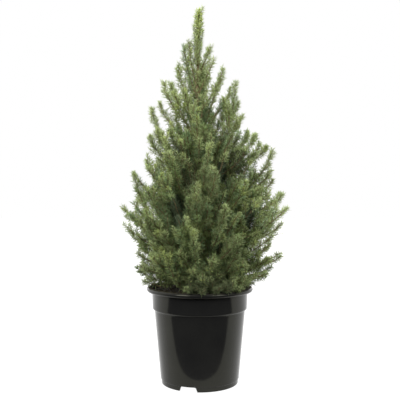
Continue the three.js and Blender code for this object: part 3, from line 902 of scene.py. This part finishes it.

# %% [markdown]
# ## Pockets, dells and bays
# Dark pockets show where the shoots of the front stand apart, and the sky shows between the tufts at the
# sides. All of these are ovals, seen from the front. A pocket is open far into the crown, and the needles at
# its back take a painted shade. A dell only lies back a little, and most of its needles take a painted shade.
# A bay of sky is open from front to back, along the camera's line of sight.

# %% Open places in the crown
HOLLOWS = [  # side, height, half width and half height of the dark pockets in front, in millimetres
    (-37, 307, 12, 26), (38, 372, 8, 18), (87, 292, 10, 17), (32, 241, 7, 11),
]
HOLLOW_BACK = -46 * MM
DELLS = [  # the same for what only lies back a little, with a painted shade on most of its needles
    (-22, 370, 18, 30), (-40, 410, 12, 13), (31, 436, 19, 14), (66, 385, 17, 30),
]
DELL_BACK = -80 * MM
BAYS = [  # the same for the bays of sky between the tufts at the sides
    (-97, 364, 11, 12), (-124, 318, 7, 11), (-124, 243, 10, 15), (-131, 257, 7, 9), (-116, 212, 9, 14),
    (112, 389, 6, 16), (140, 360, 9, 16), (156, 328, 8, 10), (158, 298, 10, 10), (146, 249, 12, 17),
    (25, 556, 6, 10), (45, 524, 7, 11), (80, 461, 6, 9), (31, 489, 4, 12), (27, 464, 4, 9),
    (-66, 466, 8, 12), (-76, 488, 5, 12), (-62, 499, 5, 10),
]


def in_ovals(place, ovals, grown=1):
    """True within one of the ovals of a list, seen from the front."""
    x = place[..., 0] / MM
    z = place[..., 2] / MM
    beside = [np.hypot((x - side) / wide, (z - height) / high) < grown for side, height, wide, high in ovals]
    return np.any(beside, axis=0)


def in_bay(place):
    """True within a bay, for a place drawn along the camera's line of sight to the middle of the crown."""
    camera_place = np.array(CAMERA_PLACE)
    nearer = CAMERA_PLACE[1] / (CAMERA_PLACE[1] - place[..., 1:2])
    return in_ovals(camera_place + nearer * (place - camera_place), BAYS)


def blocks_hollow(place):
    """True for a place in front of a pocket's or a dell's back."""
    in_dell = place[1] < DELL_BACK and in_ovals(place, DELLS)
    return in_dell or (place[1] < HOLLOW_BACK and in_ovals(place, HOLLOWS))


print("pockets:", len(HOLLOWS), "dells:", len(DELLS), "bays of sky:", len(BAYS))

# %% [markdown]
# ## Side shoots
# On the real plant every limb carries side shoots all round it, and those carry shorter ones. Each leaves
# its parent at about forty-five degrees by the golden angle and then turns up to the light. The same rule is
# used on the limbs and again on the side shoots. A shoot that would leave the crown, or grow into an open
# place, is made shorter until it fits.

# %% Rule for one shoot
Shoot = namedtuple("Shoot", "start bend end length root_radius tip_radius order spray vigour")
LENGTH_TRIES = (1, 0.8, 0.62, 0.45, 0.3)
SHOOT_BEND_AT = 0.55
SHOOT_END_AFTER = 0.5
SHOOT_TAPER = 0.45
NEARLY_UPRIGHT = 0.95
CROWN_EDGE = 5 * MM
LOWEST_SHOOT = 171 * MM
INSIDE_POT = 78 * MM
CLEAR_OF_SOIL = 5 * MM
OPEN_EDGE = 0.86
OPEN_BELOW = 430 * MM
OPEN_SHARE = 0.5
OPEN_DRAW = 9
OPEN_STEP = 7
shoots = []


def side_curve(parent, share, turn, lean, length, turn_up):
    """Start, bend and end of a shoot that leaves its parent sideways and then turns up."""
    start = curve_point(parent.start, parent.bend, parent.end, share)
    along = curve_slope(parent.start, parent.bend, parent.end, share)
    across = np.cross(along, UP if abs(along[2]) < NEARLY_UPRIGHT else np.array((1.0, 0, 0)))
    across /= np.linalg.norm(across)
    over = np.cross(across, along)
    outward = math.cos(turn) * across + math.sin(turn) * over
    aim = math.cos(lean) * along + math.sin(lean) * outward
    bend = start + SHOOT_BEND_AT * length * aim
    turned = aim + turn_up * UP
    end = bend + SHOOT_END_AFTER * length * turned / np.linalg.norm(turned)
    return start, bend, end


def keeps_to_crown(limb, end):
    """True where a shoot's end is inside the crown, or inside the reach of its own limb."""
    distance = math.hypot(end[0], end[1]) + CROWN_EDGE
    lowest = LOWEST_SHOOT if distance > INSIDE_POT else SOIL_TOP + CLEAR_OF_SOIL
    inside_reach = distance < limb.reach and end[2] < limb.end[2]
    return end[2] > lowest and (distance < crown_radius(end[2]) or inside_reach)


def left_open(end, draw):
    """True for a share of the shoots at the sides of the full crown, where the sky shows between them."""
    beside = abs(end[0]) / crown_radius(end[2])
    return beside > OPEN_EDGE and end[2] < OPEN_BELOW and chance(draw, OPEN_DRAW) < OPEN_SHARE


def grow_shoot(limb, parent, share, turn, lean, length, turn_up, radius, order, spray, vigour):
    """Adds a shoot in the longest of a few lengths that keeps to the crown and out of the open places."""
    for shortened in LENGTH_TRIES:
        start, bend, end = side_curve(parent, share, turn, lean, shortened * length, turn_up)
        if left_open(end, spray + OPEN_STEP * share):
            return None
        if in_bay(end) or in_bay(bend):
            continue
        if keeps_to_crown(limb, end) and not (blocks_hollow(end) or blocks_hollow(bend)):
            taper = SHOOT_TAPER * radius
            shoot = Shoot(start, bend, end, shortened * length, radius, taper, order, spray, vigour)
            shoots.append(shoot)
            return shoot
    return None


print("a shoot may shrink to", LENGTH_TRIES[-1], "of its length")

# %% Wood of a limb
TUFT_REACH = 5.5 * MM
STEM_TIP_RADIUS = 0.7 * MM
CURVE_POINTS = 25


def limb_points(limb):
    return curve_point(limb.start, limb.bend, limb.end, np.linspace(0, 1, CURVE_POINTS)[:, None])


def limb_length(limb):
    return np.linalg.norm(np.diff(limb_points(limb), axis=0), axis=1).sum()


def crosses_hollow(limb):
    return any(blocks_hollow(point) for point in limb_points(limb))


def limb_stem(limb, length, radius, spray, vigour):
    """The wood of a limb, which stops short of the limb's tip by the reach of its last needles."""
    share = 1 - TUFT_REACH / length
    bend = lerp(limb.start, limb.bend, share)
    end = curve_point(limb.start, limb.bend, limb.end, share)
    return Shoot(limb.start, bend, end, share * length, radius, STEM_TIP_RADIUS, 0, spray, vigour)


print("longest limb:", round(1000 * max(limb_length(limb) for limb in limbs)), "mm")

# %% Limbs with side shoots and twigs
SPRAYS_PER_LIMB = 1000
TURN_DRAW = 50
SIZE_DRAW = 20
PLACE_VARIES = 0.6
STEM_RADIUS = 2.4 * MM
INNER_STEM_RADIUS = 1.7 * MM
STEM_VIGOUR = (1.6, 2.6)  # on a full limb and on a slender one
SLENDER_LOW = 430 * MM
SLENDER_HIGH = 620 * MM
LONG_REACH = 90 * MM
FIRST_ON_LONG = 0.24
FIRST_ON_SHORT = 0.15
LAST_PLACE = 0.97
SIDE_SPACING = 8 * MM
SIDE_SHOOT_LEAN = math.radians(46)
LIMB_END_LEAN = math.radians(40)
SIDE_SHOOT_BASE = 30 * MM
SIDE_SHOOT_GROWTH = 0.18
SIDE_SHARE = (0.5, 0.26)  # the most of its limb's length that a side shoot has, full and slender
SIDE_SIZES = (0.8, 1.2)
SIDE_AT_TIP = 0.15
SHORTENING_POWER = 0.85
SIDE_SHOOT_RADIUS = 0.9 * MM
VIGOUR_GAIN = 0.7
TURN_UP = 1.2
SPIRE_TURN_UP = 2.2
SPIRE_LENGTH = 70 * MM
SPIRE_RISE = 0.85
SPIRES_UNTIL = 0.85
SPIRES_BELOW = 0.5  # of slenderness, like the next one
TWIGS_BELOW = 0.7
UPPER_SIDE = 0.4
TWIG_SPACING = 10.5 * MM
TWIG_PLACES = (0.12, 0.78)
TWIG_LEAN = math.radians(34)
TWIG_BASE = 8 * MM
TWIG_GROWTH = 0.3
TWIG_AT_TIP = 0.4
TWIG_SIZES = (0.75, 1.15)
TWIG_RADIUS = 0.55 * MM
SHORTEST_PARENT = 24 * MM
LIMB_HEIGHT = 415 * MM


def side_places(seed, count, first, last):
    """The number, the place along the parent and the turn of each of a parent's shoots."""
    for i in range(count):
        share = lerp(first, last, (i + PLACE_VARIES * chance(seed, i)) / count)
        yield i, share, GOLDEN_ANGLE * i + 2 * math.pi * chance(seed, TURN_DRAW)


def grow_twigs(limb, shoot):
    """Short shoots on a side shoot, shorter towards its tip."""
    seed = shoot.spray
    for i, share, turn in side_places(seed, int(shoot.length / TWIG_SPACING), *TWIG_PLACES):
        full = TWIG_BASE + TWIG_GROWTH * shoot.length * lerp(1, TWIG_AT_TIP, share)
        length = full * lerp(*TWIG_SIZES, chance(seed, i + SIZE_DRAW))
        grow_shoot(limb, shoot, share, turn, TWIG_LEAN, length, TURN_UP, TWIG_RADIUS, 2, seed, 1)


def grow_limb(limb):
    """The limb's own stem, its side shoots and their twigs. Shoots on its upper side rise as spires."""
    length = limb_length(limb)
    first = FIRST_ON_LONG if limb.reach > LONG_REACH else FIRST_ON_SHORT
    slender = share_between(limb.end[2], SLENDER_LOW, SLENDER_HIGH)
    stem_radius = STEM_RADIUS if limb.number < FIRST_INNER else INNER_STEM_RADIUS
    limb_spray = SPRAYS_PER_LIMB * limb.number
    shoots.append(limb_stem(limb, length, stem_radius, limb_spray, lerp(*STEM_VIGOUR, slender)))
    count = int(length * (1 - first) / SIDE_SPACING)
    full = min(SIDE_SHOOT_BASE + SIDE_SHOOT_GROWTH * limb.reach, lerp(*SIDE_SHARE, slender) * length)
    for i, share, turn in side_places(limb.number, count, first, LAST_PLACE):
        lean = lerp(SIDE_SHOOT_LEAN, LIMB_END_LEAN, share)
        varied = lerp(*SIDE_SIZES, chance(limb.number, i + SIZE_DRAW))
        size = full * lerp(1, SIDE_AT_TIP, share**SHORTENING_POWER) * varied
        turn_up = TURN_UP
        if math.sin(turn) > UPPER_SIDE and share < SPIRES_UNTIL and slender < SPIRES_BELOW:
            rise = limb.end[2] - curve_point(limb.start, limb.bend, limb.end, share)[2]
            size = max(size, min(SPIRE_LENGTH, SPIRE_RISE * rise))
            turn_up = SPIRE_TURN_UP
        spray = limb_spray + i + 1
        vigour = 1 + VIGOUR_GAIN * max(share, slender) ** 2
        shoot = grow_shoot(limb, limb, share, turn, lean, size, turn_up, SIDE_SHOOT_RADIUS, 1, spray, vigour)
        if shoot and shoot.length > SHORTEST_PARENT and slender < TWIGS_BELOW:
            grow_twigs(limb, shoot)


for limb in [*limbs, *inner_limbs]:
    clear_inner = limb.number >= FIRST_INNER and not crosses_hollow(limb)
    if limb.end[2] < LIMB_HEIGHT or clear_inner:
        grow_limb(limb)
print("shoots of the limbs:", len(shoots))

# %% Brushes with short shoots
UPPER_SPACING = 7 * MM
SHOOTS_ON = 0.8  # the share of a brush's length that is counted for its shoots
BRUSH_PLACES = (0.22, 0.95)
BRUSH_LEAN = math.radians(50)
END_SHOOT_LEAN = math.radians(28)
BRUSH_TURN_UP = 0.9
FULL_SHOOT = 25  # in millimetres, like the next two
SLENDER_SHOOT = 17
LAST_SHOOT = 9
BRUSH_SIZES = (0.6, 1.4)
BRUSH_SHOOT_RADIUS = 0.8 * MM
BRUSH_MARGIN = 9 * MM
FRONT_PLANE = -44 * MM
SLENDER_VIGOUR = 1.2
BRUSH_VIGOUR = (2, 1.4)  # low down and high up
BRUSH_SHOOT_VIGOUR = (1.5, 1.1)


def grow_upper(limb):
    """An upright stem, thick with needles and short side shoots close to it. It is slender in front."""
    length = limb_length(limb)
    limb_spray = SPRAYS_PER_LIMB * limb.number
    slender = limb.end[1] < FRONT_PLANE
    high = share_between(limb.end[2], UPPER_HEIGHT, SLENDER_HIGH)
    stem_vigour = SLENDER_VIGOUR if slender else lerp(*BRUSH_VIGOUR, high)
    shoots.append(limb_stem(limb, length, INNER_STEM_RADIUS, limb_spray, stem_vigour))
    wider = limb._replace(reach=limb.reach + BRUSH_MARGIN)
    vigour = lerp(*BRUSH_SHOOT_VIGOUR, high)
    longest = SLENDER_SHOOT if slender else FULL_SHOOT
    count = int(SHOOTS_ON * length / UPPER_SPACING)
    for i, share, turn in side_places(limb.number, count, *BRUSH_PLACES):
        lean = lerp(BRUSH_LEAN, END_SHOOT_LEAN, share)
        varied = lerp(*BRUSH_SIZES, chance(limb.number, i + SIZE_DRAW))
        size = lerp(longest, LAST_SHOOT, share) * varied * MM
        place = (share, turn, lean, size, BRUSH_TURN_UP, BRUSH_SHOOT_RADIUS)
        grow_shoot(wider, limb, *place, 1, limb_spray + i + 1, vigour)


clear_brushes = [limb for limb in upper_limbs if not crosses_hollow(limb)]
for limb in clear_brushes:
    grow_upper(limb)
print("brushes grown:", len(clear_brushes), "of", len(upper_limbs), "and shoots so far:", len(shoots))

# %% [markdown]
# ## The leading shoot
# The leading shoot is the strongest of all, with short side shoots that stand close to it. The upper trunk
# below it carries a few short shoots of its own, between the highest limbs. Both follow the rule for one
# shoot, and the leader's needles all belong to spray 0, so that they can be told apart later.

# %% Leader and upper trunk
TRUNK_SHOOTS = 500
TRUNK_LIMB = 99
TRUNK_SHOOT_COUNT = 24
TRUNK_SHOOT_LEAN = math.radians(40)
TRUNK_SHOOT_TURN_UP = 0.8
TRUNK_SHOOT_LENGTHS = (34, 18)  # at the foot and at the top, in millimetres
TRUNK_SHOOT_SIZES = (0.8, 1.15)
TRUNK_SHOOT_VIGOUR = 1.2
TRUNK_SHOOTS_LOW = 440 * MM
TRUNK_SHOOTS_MIDDLE = 505 * MM
LEADER_SHOOT_COUNT = 20
LEADER_PLACES = (0.04, 0.82)
LEADER_SHOOT_LEAN = math.radians(24)
LEADER_SHOOT_LENGTHS = (34, 12)  # the same on the leader
LEADER_SHOOT_SIZES = (0.8, 1.2)
LEADER_SHOOT_VIGOUR = 1.6
LEADER_RADIUS = 2.2 * MM
LEADER_VIGOUR = 2.6


def grow_trunk_shoots():
    """Short shoots between the highest limbs, each a spray of its own."""
    middle = trunk_middle(TRUNK_SHOOTS_MIDDLE)
    trunk = Limb(TRUNK_LIMB, "trunk", trunk_middle(TRUNK_SHOOTS_LOW), middle, leader_foot, LEADER_REACH)
    for i in range(TRUNK_SHOOT_COUNT):
        share = i / (TRUNK_SHOOT_COUNT - 1)
        varied = lerp(*TRUNK_SHOOT_SIZES, chance(trunk.number, i))
        size = lerp(*TRUNK_SHOOT_LENGTHS, share) * varied * MM
        place = (share, GOLDEN_ANGLE * i, TRUNK_SHOOT_LEAN, size, TRUNK_SHOOT_TURN_UP, SIDE_SHOOT_RADIUS)
        grow_shoot(leader, trunk, *place, 1, SPRAYS_PER_LIMB * TRUNK_SHOOTS + i, TRUNK_SHOOT_VIGOUR)


def grow_leader():
    """The leading stem and its side shoots, all of them spray 0."""
    shoots.append(limb_stem(leader, limb_length(leader), LEADER_RADIUS, 0, LEADER_VIGOUR))
    for i in range(LEADER_SHOOT_COUNT):
        share = lerp(*LEADER_PLACES, i / (LEADER_SHOOT_COUNT - 1))
        varied = lerp(*LEADER_SHOOT_SIZES, chance(0, i))
        size = lerp(*LEADER_SHOOT_LENGTHS, share) * varied * MM
        place = (share, GOLDEN_ANGLE * i, LEADER_SHOOT_LEAN, size, TURN_UP, BRUSH_SHOOT_RADIUS)
        grow_shoot(leader, leader, *place, 1, 0, LEADER_SHOOT_VIGOUR)


grow_trunk_shoots()
grow_leader()
print("shoots:", len(shoots), "in all", round(sum(s.length for s in shoots), 1), "m long")

# %% [markdown]
# ## Stems and twigs
# The wood of the shoots is a thin tapered tube, tan while it is young. There are thousands, so they are made
# together from arrays: rings of eight points along a stem, or three along a twig, a point at the tip and a
# closed foot.

# %% Tubes along many curves
LAST_RING = 0.94
TAPER_POWER = 0.75
ASKEW = (0.31, 0.95, 0.05)  # a direction that no shoot follows


def stacked(shoots, field):
    return np.array([getattr(shoot, field) for shoot in shoots])


def square_to(along):
    """Two directions that stand square to each of many directions, and to each other."""
    across = np.cross(along, ASKEW)
    across /= np.linalg.norm(across, axis=-1, keepdims=True)
    return across, np.cross(along, across)


def tubes(shoots, sides, rings):
    """Points and triangles of closed tapered tubes along the curves of many shoots."""
    start, bend, end = (stacked(shoots, field)[:, None, :] for field in ("start", "bend", "end"))
    share = np.linspace(0, LAST_RING, rings)[None, :, None]
    middle = curve_point(start, bend, end, share)
    across, over = square_to(curve_slope(start, bend, end, share))
    root = stacked(shoots, "root_radius")[:, None, None]
    tip = stacked(shoots, "tip_radius")[:, None, None]
    radius = lerp(root, tip, share**TAPER_POWER)
    turns = 2 * np.pi * np.arange(sides) / sides
    ring = [middle + radius * (math.cos(a) * across + math.sin(a) * over) for a in turns]
    walls = np.stack(ring, axis=2).reshape(len(shoots), rings * sides, 3)
    places = np.concatenate([walls, start, end], axis=1)
    foot = rings * sides
    point = foot + 1
    top = foot - sides
    triangles = []
    for side in range(sides):
        after = (side + 1) % sides
        for level in range(rings - 1):
            a = level * sides + side
            b = level * sides + after
            triangles += [(a, b, b + sides), (a, b + sides, a + sides)]
        triangles += [(top + side, top + after, point), (after, side, foot)]
    stride = places.shape[1]
    joined = np.array(triangles)[None] + stride * np.arange(len(shoots))[:, None, None]
    return places.reshape(-1, 3), joined.reshape(-1, 3)


stems = [shoot for shoot in shoots if shoot.order == 0]
twigs = [shoot for shoot in shoots if shoot.order > 0]
print("stems:", len(stems), "side shoots and twigs:", len(twigs))

# %% Wood of the shoots
mass_nodes = [f"foliage_{limb.name}" for limb in [*limbs, leader]]
stem_bark = make_finish(
    "stem_bark",
    dark=tone(104, 92, 66),
    light=tone(148, 131, 98),
    grain=120,
    roughness=(0.7, 0.9),
    bump_depth=0.0003,
    bump_grain=900,
    specular=0.25,
)
twig_bark = make_finish(
    "twig_bark",
    dark=tone(112, 103, 74),
    light=tone(152, 140, 104),
    grain=90,
    roughness=(0.7, 0.9),
    bump_depth=0.0002,
    bump_grain=1200,
    specular=0.25,
)
make_piece("stems", joined_mesh("stems", *tubes(stems, 8, 16)), stem_bark, mass_nodes)
make_piece("twigs", joined_mesh("twigs", *tubes(twigs, 3, 4)), twig_bark, mass_nodes)

# %% [markdown]
# ## Needles
# A spruce needle is a stiff, pointed, slim blade about nine millimetres long, narrow at its foot. They stand
# all round the shoot in a spiral, lean towards its tip and close up into a tuft at its end. One needle is a
# spindle of six faces, with three corners a third of the way along. Arrays place them all: first the roots,
# then the directions. Needles are left out where a stem is bare, in pockets and in the sky, and they thin
# out deep inside.

# %% Where the needles stand
NEEDLES_PER_METRE = 1300
NEEDLE_LENGTH = 9.6 * MM
NEEDLE_SIZES = (0.62, 1.16)
LEADER_NEEDLE_SHARE = 0.9
BASE_LEAN = math.radians(66)
TIP_LEAN = math.radians(38)
LEADER_TIP_LEAN = math.radians(22)
LEAN_SPREAD = 0.26
TURN_SPREAD = 0.25
RISE_TO_LIGHT = 0.12
TUFT_LENGTH = 9 * MM
TUFT_SIZE = 0.8
BARE_SHARE = 0.3
BRUSH_BARE_SHARE = 0.1
SHADE_DEPTH = 80 * MM
DEEP_DENSITY = 0.55
DENSITY_GAIN = 0.65
LEAST_DENSITY = 0.45
ROUND_POCKETS = 1.3
POCKET_EDGE = (0.8, 1.1)
LEAST_RADIUS = 10 * MM

Needles = namedtuple("Needles", "root aim side length shoot share inside")


def reach_at(heights):
    """The crown's reach at many heights, never quite nothing at the top."""
    return np.maximum(crown_radius(heights), LEAST_RADIUS)


def place_needles():
    """Roots, directions and lengths of all needles, with the shoot and the depth in the crown of each."""
    lengths = stacked(shoots, "length")
    counts = (lengths * NEEDLES_PER_METRE * stacked(shoots, "vigour")).astype(int)
    shoot = np.repeat(np.arange(len(shoots)), counts)
    many = len(shoot)
    place = np.arange(many) - np.repeat(np.cumsum(counts) - counts, counts)
    share = (place + rng.uniform(0, 1, many)) / counts[shoot]
    start, bend, end = (stacked(shoots, field)[shoot] for field in ("start", "bend", "end"))
    middle = curve_point(start, bend, end, share[:, None])
    along = curve_slope(start, bend, end, share[:, None])
    across, over = square_to(along)
    shoot_turn = 2 * np.pi * rng.random(len(shoots))
    turn = GOLDEN_ANGLE * place + shoot_turn[shoot] + rng.normal(0, TURN_SPREAD, many)
    outward = np.cos(turn)[:, None] * across + np.sin(turn)[:, None] * over
    to_tip = (1 - share) * lengths[shoot]
    close = np.clip(1 - to_tip / TUFT_LENGTH, 0, 1)
    spray = stacked(shoots, "spray")[shoot]
    on_leader = spray == 0
    tip_lean = np.where(on_leader, LEADER_TIP_LEAN, TIP_LEAN)
    lean = lerp(BASE_LEAN, tip_lean, close) + rng.normal(0, LEAN_SPREAD, many)
    aim = np.cos(lean)[:, None] * along + np.sin(lean)[:, None] * outward + RISE_TO_LIGHT * UP
    aim /= np.linalg.norm(aim, axis=1, keepdims=True)
    side = np.cross(aim, along)
    side /= np.linalg.norm(side, axis=1, keepdims=True)
    length = NEEDLE_LENGTH * rng.uniform(*NEEDLE_SIZES, many) * lerp(1, TUFT_SIZE, close)
    length *= np.where(on_leader, LEADER_NEEDLE_SHARE, 1)
    depth = reach_at(middle[:, 2]) - np.hypot(middle[:, 0], middle[:, 1])
    inside = 1 - depth / SHADE_DEPTH
    on_stem = stacked(shoots, "order")[shoot] == 0
    bare_share = np.where(spray < SPRAYS_PER_LIMB * FIRST_BRUSH, BARE_SHARE, BRUSH_BARE_SHARE)
    bare = on_stem & (share < bare_share) & ~on_leader
    thinned = np.clip(DEEP_DENSITY + DENSITY_GAIN * inside, LEAST_DENSITY, 1)
    dense = np.where(in_ovals(middle, HOLLOWS, ROUND_POCKETS), 1, thinned)
    ragged = in_ovals(middle, HOLLOWS, rng.uniform(*POCKET_EDGE, many))
    pocket = ragged & (middle[:, 1] < HOLLOW_BACK)
    in_sky = in_bay(middle) | in_bay(middle + length[:, None] * aim)
    kept = ~bare & ~((pocket | in_sky) & ~on_stem) & (rng.random(many) < dense)
    radius = lerp(stacked(shoots, "root_radius")[shoot], stacked(shoots, "tip_radius")[shoot], share)
    root = middle + 0.5 * radius[:, None] * outward
    return Needles(*(a[kept] for a in (root, aim, side, length, shoot, share, inside)))


needles = place_needles()
print("needles:", len(needles.length))

# %% [markdown]
# ## Dealing out the greens
# The shoots of one plant are not all one green: last year's are olive, some are bluish and the newest tips are
# a fresh yellow-green. Each spray takes one plain green by chance, and a brush takes one for all its shoots.
# Needles then take lighter greens towards the tips of the outer shoots, partly new growth and partly painted
# light, and a painted light at the sides of the crown. Darker greens are painted shade: towards the foot of
# each shoot, low on the crown, deep inside, on shaded limbs, in dells and in pockets. Every green becomes one
# joined piece.

# %% Greens by shoot
GREENS = {
    "needles_fresh": (tone(168, 184, 104), tone(188, 202, 120)),
    "needles_light": (tone(152, 168, 108), tone(170, 184, 124)),
    # a paler green, painted as light at the sides of some limbs
    "needles_pale_lit": (tone(168, 182, 128), tone(186, 198, 144)),
    "needles_leaf": (tone(130, 151, 92), tone(146, 166, 106)),
    "needles_olive": (tone(137, 150, 89), tone(153, 165, 102)),
    "needles_blue": (tone(123, 147, 100), tone(139, 162, 113)),
    # darker greens painted as shade, from the foot of a shoot to the deepest pockets
    "needles_moss_shade": (tone(122, 138, 79), tone(138, 152, 91)),
    "needles_deep_shade": (tone(110, 132, 86), tone(124, 146, 98)),
    "needles_shade": (tone(114, 132, 88), tone(128, 146, 98)),
    "needles_low_shade": (tone(113, 127, 80), tone(129, 143, 92)),
    "needles_under_shade": (tone(82, 92, 60), tone(96, 106, 70)),
    "needles_dim_shade": (tone(70, 84, 58), tone(84, 98, 68)),
}
SPRAY_GREENS = ["needles_light", "needles_leaf", "needles_olive", "needles_blue"]
GREEN_DRAW = 7
LIGHT_DRAW = 374
LIGHT_LOW = 400 * MM
LIGHT_HIGH = 560 * MM
LIGHT_SHARE = 0.8
LIGHT_BRUSHES = 0.45
LIGHT_TRUNK_SHOOTS = 0.9
number_of = {name: number for number, name in enumerate(GREENS)}


def greens_of_shoots():
    """For each shoot the number of its own green and that of a darker green, painted as shade at its foot and
    inside the crown.
    """
    sprays = stacked(shoots, "spray")
    limb_numbers = sprays // SPRAYS_PER_LIMB
    from_trunk = limb_numbers >= TRUNK_SHOOTS
    kin = np.where((limb_numbers >= FIRST_BRUSH) & ~from_trunk, limb_numbers, sprays)
    picks = np.array([int(len(SPRAY_GREENS) * chance(spray, GREEN_DRAW)) for spray in kin])
    own = np.array([number_of[green] for green in SPRAY_GREENS])[picks]
    lighter = np.array([chance(spray, LIGHT_DRAW) for spray in kin])
    heights = (stacked(shoots, "end")[:, 2] - LIGHT_LOW) / (LIGHT_HIGH - LIGHT_LOW)
    light = lighter < LIGHT_SHARE * np.clip(heights, 0, 1)
    light |= (limb_numbers >= FIRST_BRUSH) & (limb_numbers < FIRST_FRONT) & (lighter < LIGHT_BRUSHES)
    light |= from_trunk & (lighter < LIGHT_TRUNK_SHOOTS)
    own[light] = number_of["needles_light"]
    # the darker green of each spray, painted as shade at the foot of its shoots and inside the crown
    shade_green = np.where(picks % 2 == 1, number_of["needles_moss_shade"], number_of["needles_deep_shade"])
    return own, shade_green


own_greens, shade_greens = greens_of_shoots()
print("shoots of the lightest green:", np.count_nonzero(own_greens == number_of["needles_light"]))

# %% Greens by needle
TIP_DRAW = 3
FULL_CROWN_HEIGHT = 450 * MM
FOOT_FROM = (10, 26)  # how far from the tip the painted shade at a shoot's foot begins, in millimetres
OUTER = 0.5
INNER = 0.3
DEEP = 0.0
DEEPEST = -0.3
FRESH_LENGTH = 10 * MM
LIGHT_TIPS = 0.6
FRESH_TIPS = 0.2
LIGHT_RIM = 0.7
RIM_FROM = (0.5, 0.9)  # as a share of the crown's reach
# limbs in the shade of their neighbours, whose needles mostly take a painted shade
SHADED_LIMBS = [22, 26, 28, 30, 32, 100, 160, 189, 218, 235, 401, 403, 404, 407]
SHADED_SHARE = 0.7
# limbs whose light needles at the sides of the crown take a paler painted light
PALE_LIMBS = [9, 110, 204, 205, 207, 212, 248, 249, 256]
LIT_LEFT = -60 * MM
LOW_INSIDE = 0.2
LOW_BELOW = (175, 250)  # in millimetres, like the next two
UNDER_BELOW = (185, 205)
LEADER_TIP_FROM = (600, 660)
UNDER_RIGHT_OF = -18 * MM
UNDER_BESIDE = 0.5
DELL_SHADE = 0.65
POCKET_FRONT = HOLLOW_BACK - 6 * MM
POCKET_END = 20 * MM
POCKET_SHADE = 1.1


def deal_greens():
    """For each needle the number of its green. A later rule takes over from an earlier one."""
    many = len(needles.shoot)
    across, depth, height = needles.root.T
    inside = needles.inside
    own = own_greens[needles.shoot]
    shade_green = shade_greens[needles.shoot]
    spray = stacked(shoots, "spray")[needles.shoot]
    limb_number = spray // SPRAYS_PER_LIMB
    to_tip = (1 - needles.share) * stacked(shoots, "length")[needles.shoot]
    tip_chance = np.array([chance(i, TIP_DRAW) for i in range(len(shoots))])[needles.shoot]

    # Painted shade: a darker green at the foot of each shoot of the full crown and inside it, the shade green
    # deeper in and the dim shade green deepest.
    full_crown = (limb_number < FIRST_BRUSH) | (height < FULL_CROWN_HEIGHT)
    at_foot = (to_tip > rng.uniform(*FOOT_FROM, many) * MM) & full_crown
    green = np.where(at_foot | (inside < INNER), shade_green, own)
    green[(inside < DEEP) | (at_foot & (inside < INNER))] = number_of["needles_shade"]
    green[inside < DEEPEST] = number_of["needles_dim_shade"]
    # Lighter tips on the outer shoots, partly new growth and partly painted light.
    outer_tip = (inside > OUTER) & (to_tip < FRESH_LENGTH)
    green[outer_tip & (tip_chance < LIGHT_TIPS)] = number_of["needles_light"]
    green[outer_tip & (tip_chance < FRESH_TIPS)] = number_of["needles_fresh"]

    # Painted light at the sides of the crown: there the shoot's own green comes back, mostly as the light one.
    beside = np.abs(across) / reach_at(height)
    rim = beside > rng.uniform(*RIM_FROM, many)
    green[rim] = own[rim]
    green[rim & (tip_chance < LIGHT_RIM)] = number_of["needles_light"]
    # Painted shade on most needles of the listed shaded limbs.
    shaded = np.isin(limb_number, SHADED_LIMBS) & (tip_chance < SHADED_SHARE)
    green[shaded] = number_of["needles_low_shade"]
    green[shaded & (inside < DEEP)] = number_of["needles_shade"]
    # A paler painted light at the sides of the listed pale limbs.
    pale = rim & np.isin(limb_number, PALE_LIMBS) & (green == number_of["needles_light"])
    green[pale] = number_of["needles_pale_lit"]

    # Painted shade low on the crown, except at its lit left side.
    low = (height < rng.uniform(*LOW_BELOW, many) * MM) & ~(rim & (across < LIT_LEFT))
    green[low] = number_of["needles_low_shade"]
    green[low & (inside < LOW_INSIDE)] = number_of["needles_shade"]
    # A darker painted shade under the crown, near the middle and to the right.
    lowest = height < rng.uniform(*UNDER_BELOW, many) * MM
    green[lowest & (beside < UNDER_BESIDE) & (across > UNDER_RIGHT_OF)] = number_of["needles_under_shade"]
    # Painted shade on most needles in the dells.
    in_dell = in_ovals(needles.root, DELLS) & (depth < 0)
    green[in_dell & (tip_chance < DELL_SHADE)] = number_of["needles_under_shade"]
    # The darkest painted shade at the back of the pockets and on the stems in them.
    on_stem = stacked(shoots, "order")[needles.shoot] == 0
    in_pocket = ((depth > POCKET_FRONT) & (depth < POCKET_END)) | on_stem
    green[in_ovals(needles.root, HOLLOWS, POCKET_SHADE) & in_pocket] = number_of["needles_dim_shade"]

    on_leader = spray == 0
    green[on_leader] = number_of["needles_light"]
    green[on_leader & (height > rng.uniform(*LEADER_TIP_FROM, many) * MM)] = number_of["needles_fresh"]
    return green


greens = deal_greens()
print("greens in use:", len(np.unique(greens)))

# %% Joined needles
NEEDLE_HALF_WIDTH = 0.63 * MM
WIDEST_AT = 0.36
POINTS_PER_NEEDLE = 5


def needle_mesh(name, chosen):
    """Spindles of six faces: a foot, three corners a third of the way along and a tip."""
    root, aim, side, length = (a[chosen] for a in needles[:4])
    over = np.cross(aim, side)
    girth = root + WIDEST_AT * length[:, None] * aim
    corners = []
    for turn in (0, 2 * math.pi / 3, 4 * math.pi / 3):
        corners.append(girth + NEEDLE_HALF_WIDTH * (math.cos(turn) * side + math.sin(turn) * over))
    places = np.stack([root, *corners, root + length[:, None] * aim], axis=1)
    faces = np.array([(2, 1, 0), (3, 2, 0), (1, 3, 0), (1, 2, 4), (2, 3, 4), (3, 1, 4)])
    triangles = faces[None] + POINTS_PER_NEEDLE * np.arange(len(root))[:, None, None]
    return joined_mesh(name, places.reshape(-1, 3), triangles.reshape(-1, 3))


for name, (dark, light) in GREENS.items():
    wax = make_finish(
        name,
        dark=dark,
        light=light,
        grain=70,
        roughness=(0.5, 0.7),
        bump_depth=0.0001,
        bump_grain=1500,
        specular=0.3,
    )
    make_piece(name, needle_mesh(name, greens == number_of[name]), wax, mass_nodes)
